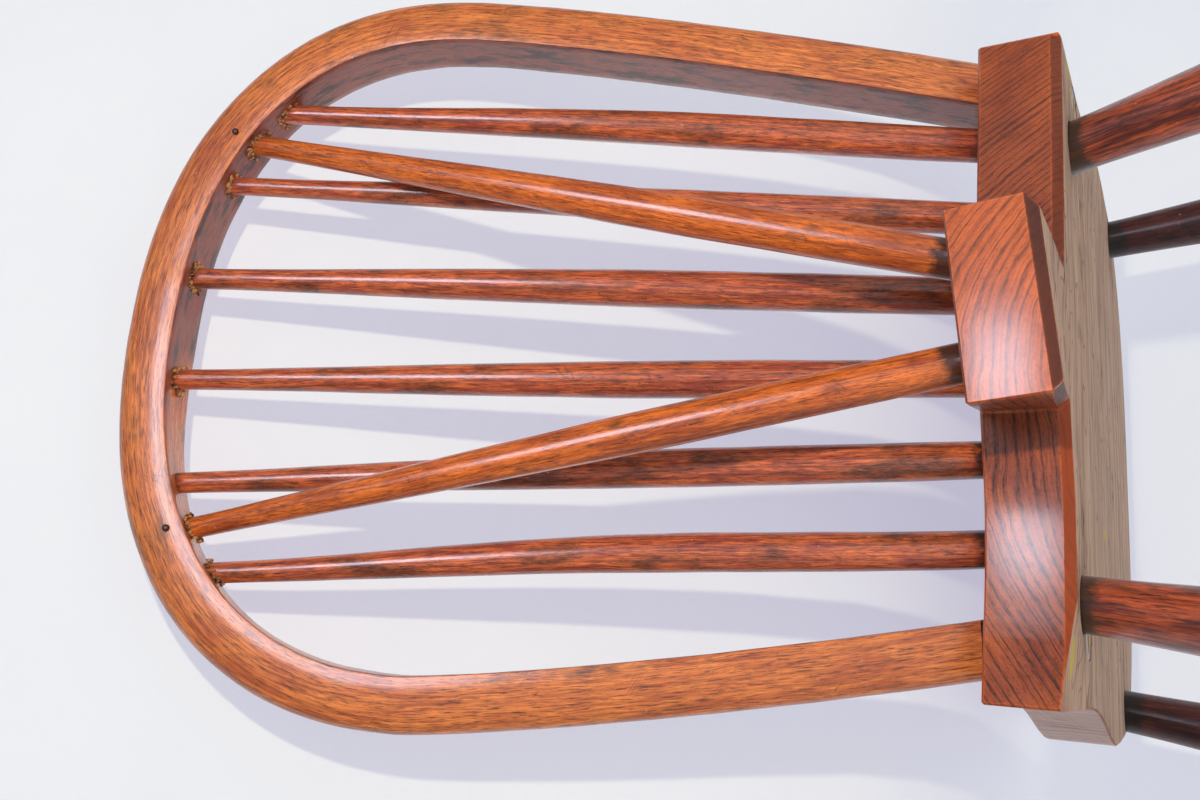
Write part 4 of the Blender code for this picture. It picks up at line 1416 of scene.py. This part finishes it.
@dataclass
class Seat:
    """The seat plank with its tail: the CAD solid with softened arrises."""

    ease: float = 0.0009
    segments: int = 3

    def make(self, material: bpy.types.Material) -> bpy.types.Object:
        """Build the seat and dress it.

        Args:
            material: Its finish.

        Returns:
            The piece.
        """
        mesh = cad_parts["seat"].data.copy()
        mesh.name = "seat_plank"
        shape = bmesh.new()
        shape.from_mesh(mesh)
        bmesh.ops.remove_doubles(shape, verts=shape.verts, dist=0.00002)
        bmesh.ops.dissolve_limit(
            shape, angle_limit=math.radians(0.6), verts=shape.verts, edges=shape.edges, delimit=set()
        )
        shape.to_mesh(mesh)
        shape.free()
        piece = bpy.data.objects.new("seat_plank", mesh)
        bpy.context.scene.collection.objects.link(piece)
        soft = piece.modifiers.new("arrises", "BEVEL")
        soft.limit_method = "ANGLE"
        soft.angle_limit = math.radians(28)
        soft.width = self.ease
        soft.segments = self.segments
        soft.harden_normals = False
        soft.use_clamp_overlap = True
        bpy.context.view_layer.update()
        graph = bpy.context.evaluated_depsgraph_get()
        made = bpy.data.meshes.new_from_object(piece.evaluated_get(graph))
        piece.modifiers.clear()
        piece.data = made
        made.shade_smooth()
        made.set_sharp_from_angle(angle=math.radians(20))
        settle(piece, ["seat"], material)
        return piece


@dataclass
class Leg:
    """One turned leg, from its socket to the floor.

    Attributes:
        row: Front or rear.
        side: Left or right.
    """

    row: Row
    side: Side
    front: tuple = (0.167, -0.294, 0.128, -0.045)
    rear: tuple = (0.116, -0.033, 0.120, 0.300)
    slim: float = 0.983
    hollows: float = 0.016
    profile: Profile = (
        (0.0, 0.01325), (0.10, 0.0149), (0.24, 0.0178), (0.40, 0.0192), (0.58, 0.0186), (0.80, 0.0155),
        (1.0, 0.0130),
    )
    steps: int = 72
    sides: int = 32

    @property
    def top(self) -> Vector:
        """Where the axis meets the seat's underside."""
        x, y, _, _ = self.front if self.row is Row.FRONT else self.rear
        return seat_point(self.side.value * x, y, 0.0)

    @property
    def fall(self) -> Vector:
        """The way down the axis, for each metre down."""
        _, _, splay, rake = self.front if self.row is Row.FRONT else self.rear
        return Vector((self.side.value * splay, rake, -1.0))

    def at(self, height: float) -> Vector:
        """The axis at this height above the floor."""
        return self.top + self.fall * (self.top.z - height)

    def make(self, material: bpy.types.Material) -> bpy.types.Object:
        """Build the leg and dress it.

        Args:
            material: Its finish.

        Returns:
            The piece.
        """
        way = self.fall.normalized()
        length = self.top.z / abs(way.z)
        side = (ACROSS - way * ACROSS.dot(way)).normalized()
        other = way.cross(side)
        seed = 0.23 * self.side.value + (0.71 if self.row is Row.FRONT else 0.37)
        rings = []
        places = [-0.006, -0.001] + [length * step / self.steps for step in range(self.steps + 1)]
        for place in places:
            share = min(1.0, max(0.0, place / length))
            radius = softened(self.profile, share)
            points, wood = [], []
            for step in range(self.sides):
                angle = math.tau * step / self.sides
                flat = side * math.cos(angle) + other * math.sin(angle)
                at = Vector((math.cos(angle) * 0.016, math.sin(angle) * 0.016, place))
                rough = self.slim - self.hollows * abs(uneven(at, seed, 22.0))
                point = self.top + way * place + flat * radius * rough
                if place == places[-1]:
                    point += way * (point.z / abs(way.z))
                points.append(point)
                wood.append(Vector((math.cos(angle) * radius, math.sin(angle) * radius, place)))
            rings.append(Ring(points, wood))
        name = f"{self.row.value}_leg_{self.side.word}"
        piece = loft(name, rings, lambda along: (along, 1.0), seed)
        settle(piece, [f"leg_{self.row.value}_{self.side.word}"], material)
        return piece


@dataclass
class Stretcher:
    """A turned stretcher between two points, swelled in its middle."""

    name: str
    node: str
    start: Vector
    end: Vector
    socket: float
    end_radius: float
    mid_radius: float
    seed: float
    swell: float = 1.5
    steps: int = 48
    sides: int = 22

    def make(self, material: bpy.types.Material) -> bpy.types.Object:
        """Build the stretcher and dress it.

        Args:
            material: Its finish.

        Returns:
            The piece.
        """
        way = (self.end - self.start).normalized()
        length = (self.end - self.start).length
        side = Vector((0.0, 0.0, 1.0)).cross(way).normalized()
        other = way.cross(side)
        rings = []
        for step in range(self.steps + 1):
            place = length * step / self.steps
            share = min(1.0, max(0.0, (place - self.socket) / (length - 2 * self.socket)))
            bulge = math.sin(math.pi * share) ** self.swell
            radius = self.end_radius + (self.mid_radius - self.end_radius) * bulge
            points, wood = [], []
            for turn in range(self.sides):
                angle = math.tau * turn / self.sides
                flat = side * math.cos(angle) + other * math.sin(angle)
                points.append(self.start + way * place + flat * radius)
                wood.append(Vector((math.cos(angle) * radius, math.sin(angle) * radius, place)))
            rings.append(Ring(points, wood))
        piece = loft(self.name, rings, lambda along: (1.0, 1.0), self.seed)
        settle(piece, [self.node], material)
        return piece


@dataclass
class Undercarriage:
    """The four legs and the three stretchers."""

    height: float = 0.185
    socket: float = 0.013
    end_radius: float = 0.0085
    mid_radius: float = 0.0125
    cross_socket: float = 0.008
    cross_end_radius: float = 0.0080
    cross_mid_radius: float = 0.0115

    def make(self, red: bpy.types.Material, dark: bpy.types.Material) -> None:
        """Build every leg and stretcher.

        Args:
            red: The rear legs' finish.
            dark: The darker leg varnish, which paints shade, for the front legs and the stretchers.
        """
        middles = {}
        for side in Side:
            # The front legs and the stretchers take the darker leg varnish: painted shade.
            front, rear = Leg(Row.FRONT, side), Leg(Row.REAR, side)
            front.make(dark)
            rear.make(red)
            start, end = front.at(self.height), rear.at(self.height)
            middles[side] = (start + end) / 2
            Stretcher(
                f"stretcher_{side.word}", f"side_stretcher_{side.word}", start, end,
                self.socket, self.end_radius, self.mid_radius, 0.4 + 0.1 * side.value,
            ).make(dark)
        inset = self.mid_radius - self.cross_socket
        Stretcher(
            "stretcher_cross", "cross_stretcher",
            middles[Side.LEFT] + ACROSS * inset, middles[Side.RIGHT] - ACROSS * inset,
            self.cross_socket, self.cross_end_radius, self.cross_mid_radius, 0.9,
        ).make(dark)


# Ground, light and camera


@dataclass
class Studio:
    """The pale ground that the chair lies against, the floor, the lights and the camera."""

    camera_at: Vector = field(default_factory=lambda: Vector((0.1526266, 0.6320352, 0.3509815)))
    camera_rows: tuple = (
        (-0.0778103201, -0.9705971334, 0.2277866517),
        (-0.4889809648, 0.2362644427, 0.8396884715),
        (-0.8688170971, -0.0460469079, -0.4929873346),
    )
    lens: float = 31.5
    sheet_profile: tuple = (
        (1.117, 2.126), (0.311, 0.980), (0.141, 0.738), (0.031, 0.582), (-0.012, 0.532), (-0.058, 0.503),
        (-0.112, 0.484), (-0.290, 0.470), (-0.335, 0.458), (-0.362, 0.420), (-0.380, 0.340), (-0.46, -0.6),
    )
    sheet_turn: float = 0.0587
    sheet_reach: float = 1.8
    # The sheet's glow is painted light that lifts and tints the shadows on it.
    sheet_glow: Colour = (0.72, 0.76, 1.0)
    sheet_glow_strength: float = 0.60
    floor_half: float = 6.0
    floor_drop: float = 0.001
    sky: Colour = (0.92, 0.95, 1.0)
    sky_strength: float = 0.42
    sky_in_gloss: float = 0.05
    aim: tuple = (0.0, 0.20, 0.62)
    flash_at: tuple = (-0.045, 0.72, 0.400)
    flash_colour: Colour = (1.0, 0.985, 0.93)
    flash_power: float = 15.0
    flash_radius: float = 0.010
    panel_at: tuple = (-0.160, 1.6, 0.63)
    panel_size: tuple = (0.46, 0.52)
    panel_colour: Colour = (0.80, 0.84, 1.0)
    panel_power: float = 13.0
    front_at: tuple = (0.5, -2.4, 1.9)
    front_size: tuple = (1.2, 1.2)
    front_colour: Colour = (1.0, 0.98, 0.95)
    front_power: float = 14.0

    def camera(self) -> None:
        """Put the camera where the photograph was taken from."""
        data = bpy.data.cameras.new("camera")
        data.sensor_width = 36.0
        data.lens = self.lens
        data.clip_start = 0.01
        camera = bpy.data.objects.new("camera", data)
        bpy.context.scene.collection.objects.link(camera)
        matrix = Matrix(self.camera_rows).to_4x4()
        matrix.translation = self.camera_at
        camera.matrix_world = matrix
        bpy.context.scene.camera = camera

    def sheet(self) -> None:
        """The pale sheet behind the chair's front, sagging over the seat, seen from the back only, glowing
        with painted bluish light.
        """
        mesh = bpy.data.meshes.new("sheet")
        corners, faces = [], []
        for y, z in self.sheet_profile:
            for x in (-self.sheet_reach, self.sheet_reach):
                corners.append((x, y + x * self.sheet_turn, z))
        for row in range(len(self.sheet_profile) - 1):
            first = 2 * row
            faces.append((first, first + 1, first + 3, first + 2))
        mesh.from_pydata(corners, [], faces)
        sheet = bpy.data.objects.new("sheet", mesh)
        bpy.context.scene.collection.objects.link(sheet)
        if mesh.polygons[0].normal.y < 0:
            mesh.flip_normals()
        mesh.shade_smooth()
        sheet.visible_shadow = False
        material, wire, shader = new_material("white_sheet")
        place = wire.add("ShaderNodeTexCoord").outputs["Object"]
        value = wire.noise(place, 5.0, detail=5.0, rough=0.6)
        colour = wire.blend(wire.spread(value, 0.35, 0.65), linear(168, 167, 141), linear(172, 171, 145))
        wire.feed(shader.inputs["Base Color"], colour)
        shader.inputs["Roughness"].default_value = 0.8
        # Painted light: the sheet glows bluish, which lifts and tints the shadows on it and shines on the
        # chair.
        shader.inputs["Emission Color"].default_value = (*self.sheet_glow, 1.0)
        shader.inputs["Emission Strength"].default_value = self.sheet_glow_strength
        clear = wire.add("ShaderNodeBsdfTransparent")
        behind = wire.add("ShaderNodeNewGeometry").outputs["Backfacing"]
        mixed = wire.add("ShaderNodeMixShader", {0: behind, 1: shader.outputs[0], 2: clear.outputs[0]})
        out = material.node_tree.nodes["Material Output"]
        wire.feed(out.inputs["Surface"], mixed.outputs[0])
        mesh.materials.append(material)

    def floor(self) -> None:
        """A plain pale floor under the chair's feet."""
        mesh = bpy.data.meshes.new("floor")
        half = self.floor_half
        plan = ((-half, -half), (half, -half), (half, half), (-half, half))
        corners = [(x, y, -self.floor_drop) for x, y in plan]
        mesh.from_pydata(corners, [], [(0, 1, 2, 3)])
        floor = bpy.data.objects.new("floor", mesh)
        bpy.context.scene.collection.objects.link(floor)
        finish = PlainFinish("pale_floor", linear(236, 235, 234), linear(228, 227, 226), 3.0, 0.8)
        mesh.materials.append(finish.build())

    def lamp(self, name: str, at: tuple, size: tuple, power: float, colour: Colour) -> bpy.types.Object:
        """Hang one rectangular lamp that shines at the chair.

        Args:
            name: The lamp's name.
            at: Where it hangs.
            size: Its width and height, in metres.
            power: Its power, in watts.
            colour: Its colour.

        Returns:
            The lamp.
        """
        data = bpy.data.lights.new(name, "AREA")
        data.shape = "RECTANGLE"
        data.size, data.size_y = size
        data.energy = power
        data.color = colour
        lamp = bpy.data.objects.new(name, data)
        bpy.context.scene.collection.objects.link(lamp)
        lamp.location = at
        lamp.rotation_euler = (Vector(self.aim) - Vector(at)).to_track_quat("-Z", "Y").to_euler()
        lamp.visible_camera = False
        return lamp

    def flash(self) -> None:
        """Hang the small lamp that casts the shadows, with a slow falloff."""
        data = bpy.data.lights.new("flash", "POINT")
        data.energy = self.flash_power
        data.color = self.flash_colour
        data.shadow_soft_size = self.flash_radius
        data.use_nodes = True
        wire = Wiring(data.node_tree)
        even = wire.add("ShaderNodeLightFalloff", {"Strength": 1.0}).outputs["Linear"]
        wire.feed(data.node_tree.nodes["Emission"].inputs["Strength"], even)
        lamp = bpy.data.objects.new("flash", data)
        bpy.context.scene.collection.objects.link(lamp)
        lamp.location = self.flash_at
        lamp.visible_glossy = False

    def light(self) -> None:
        """Soft light all round, a small lamp by the camera, a panel for the gloss and one in front."""
        scene = bpy.context.scene
        world = bpy.data.worlds.new("studio")
        scene.world = world
        world.use_nodes = True
        sky = world.node_tree.nodes["Background"]
        sky.inputs[0].default_value = (*self.sky, 1.0)
        wire = Wiring(world.node_tree)
        mirrored = wire.add("ShaderNodeLightPath").outputs["Is Glossy Ray"]
        wire.feed(sky.inputs[1], wire.spread(mirrored, 0.0, 1.0, self.sky_strength, self.sky_in_gloss))
        self.flash()
        panel = self.lamp("panel", self.panel_at, self.panel_size, self.panel_power, self.panel_colour)
        panel.visible_diffuse = False
        self.lamp("front", self.front_at, self.front_size, self.front_power, self.front_colour)
        scene.view_settings.view_transform = "Standard"

    def make(self) -> None:
        """Set the whole studio."""
        self.camera()
        self.sheet()
        self.floor()
        self.light()


class Finishes(Enum):
    """The finishes of the chair's pieces."""

    BOW = VarnishedWood(
        name="bow_varnish",
        light=linear(240, 138, 66),
        middle=linear(190, 96, 52),
        dark=linear(62, 36, 27),
        mottle=linear(72, 40, 30),
        width=0.00062,
        stretch=14.0,
        ring_share=0.25,
        mottle_share=0.38,
        seat_band=0.008,
        inner_face=-0.0138,
        coat=0.75,
        roughness=0.48,
    )
    STICK = VarnishedWood(
        name="stick_varnish",
        light=linear(244, 124, 64),
        middle=linear(164, 72, 50),
        dark=linear(56, 30, 26),
        mottle=linear(52, 30, 28),
        width=0.00055,
        stretch=11.0,
        ring_share=0.50,
        mottle_share=0.65,
        seat_band=0.010,
        coat=1.0,
        roughness=0.44,
    )
    BRACE = VarnishedWood(
        name="brace_varnish",
        light=linear(240, 122, 40),
        middle=linear(176, 78, 30),
        dark=linear(60, 30, 20),
        mottle=linear(54, 30, 22),
        width=0.00055,
        stretch=12.0,
        ring_share=0.30,
        mottle_share=0.30,
        seat_band=0.011,
        coat=1.0,
        roughness=0.40,
    )
    REAR_LEG = VarnishedWood(
        name="rear_leg_varnish",
        light=linear(204, 92, 48),
        middle=linear(104, 46, 36),
        dark=linear(38, 17, 16),
        mottle=linear(34, 18, 20),
        width=0.0008,
        stretch=22.0,
        ring_share=0.40,
        mottle_share=0.45,
        seat_band=0.010,
        band_colour=linear(42, 38, 30),
        coat=1.0,
        roughness=0.44,
    )
    # The front legs' varnish is the leg varnish made darker. This is painted shade for the seat's shadow over
    # them, and the stretchers share it.
    FRONT_LEG = VarnishedWood(
        name="front_leg_varnish",
        light=linear(104, 46, 34),
        middle=linear(62, 30, 26),
        dark=linear(30, 18, 18),
        mottle=linear(30, 18, 20),
        width=0.0008,
        stretch=22.0,
        ring_share=0.35,
        mottle_share=0.45,
        seat_band=0.010,
        band_colour=linear(34, 30, 26),
        coat=0.5,
        roughness=0.50,
    )
    SEAT = SeatWood()
    CRUMB = PlainFinish("old_filling", linear(206, 146, 92), linear(58, 34, 26), 260.0, 0.75)
    PIN = PinFinish()
    WEDGE = PlainFinish("pale_wedge", linear(214, 194, 120), linear(168, 144, 84), 700.0, 0.75)


def main() -> None:
    """Build the chair's pieces in order."""
    logging.basicConfig(level=logging.INFO, format="%(name)s: %(message)s")
    dressed = {finish: finish.value.build() for finish in Finishes}
    Seat().make(dressed[Finishes.SEAT])
    back = Back()
    Bow(back).make(dressed[Finishes.BOW])
    sticks = StickSet(back).make(dressed[Finishes.STICK], dressed[Finishes.BRACE])
    SocketCrumbs(back, sticks).make(dressed[Finishes.CRUMB])
    PinHeads(back, sticks).make(dressed[Finishes.PIN])
    for side in Side:
        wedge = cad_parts[f"bow_wedge_{side.word}"]
        for slot in wedge.material_slots:
            slot.material = dressed[Finishes.WEDGE]
    Undercarriage().make(dressed[Finishes.REAR_LEG], dressed[Finishes.FRONT_LEG])
    Studio().make()


if __name__ == "__main__":
    main()
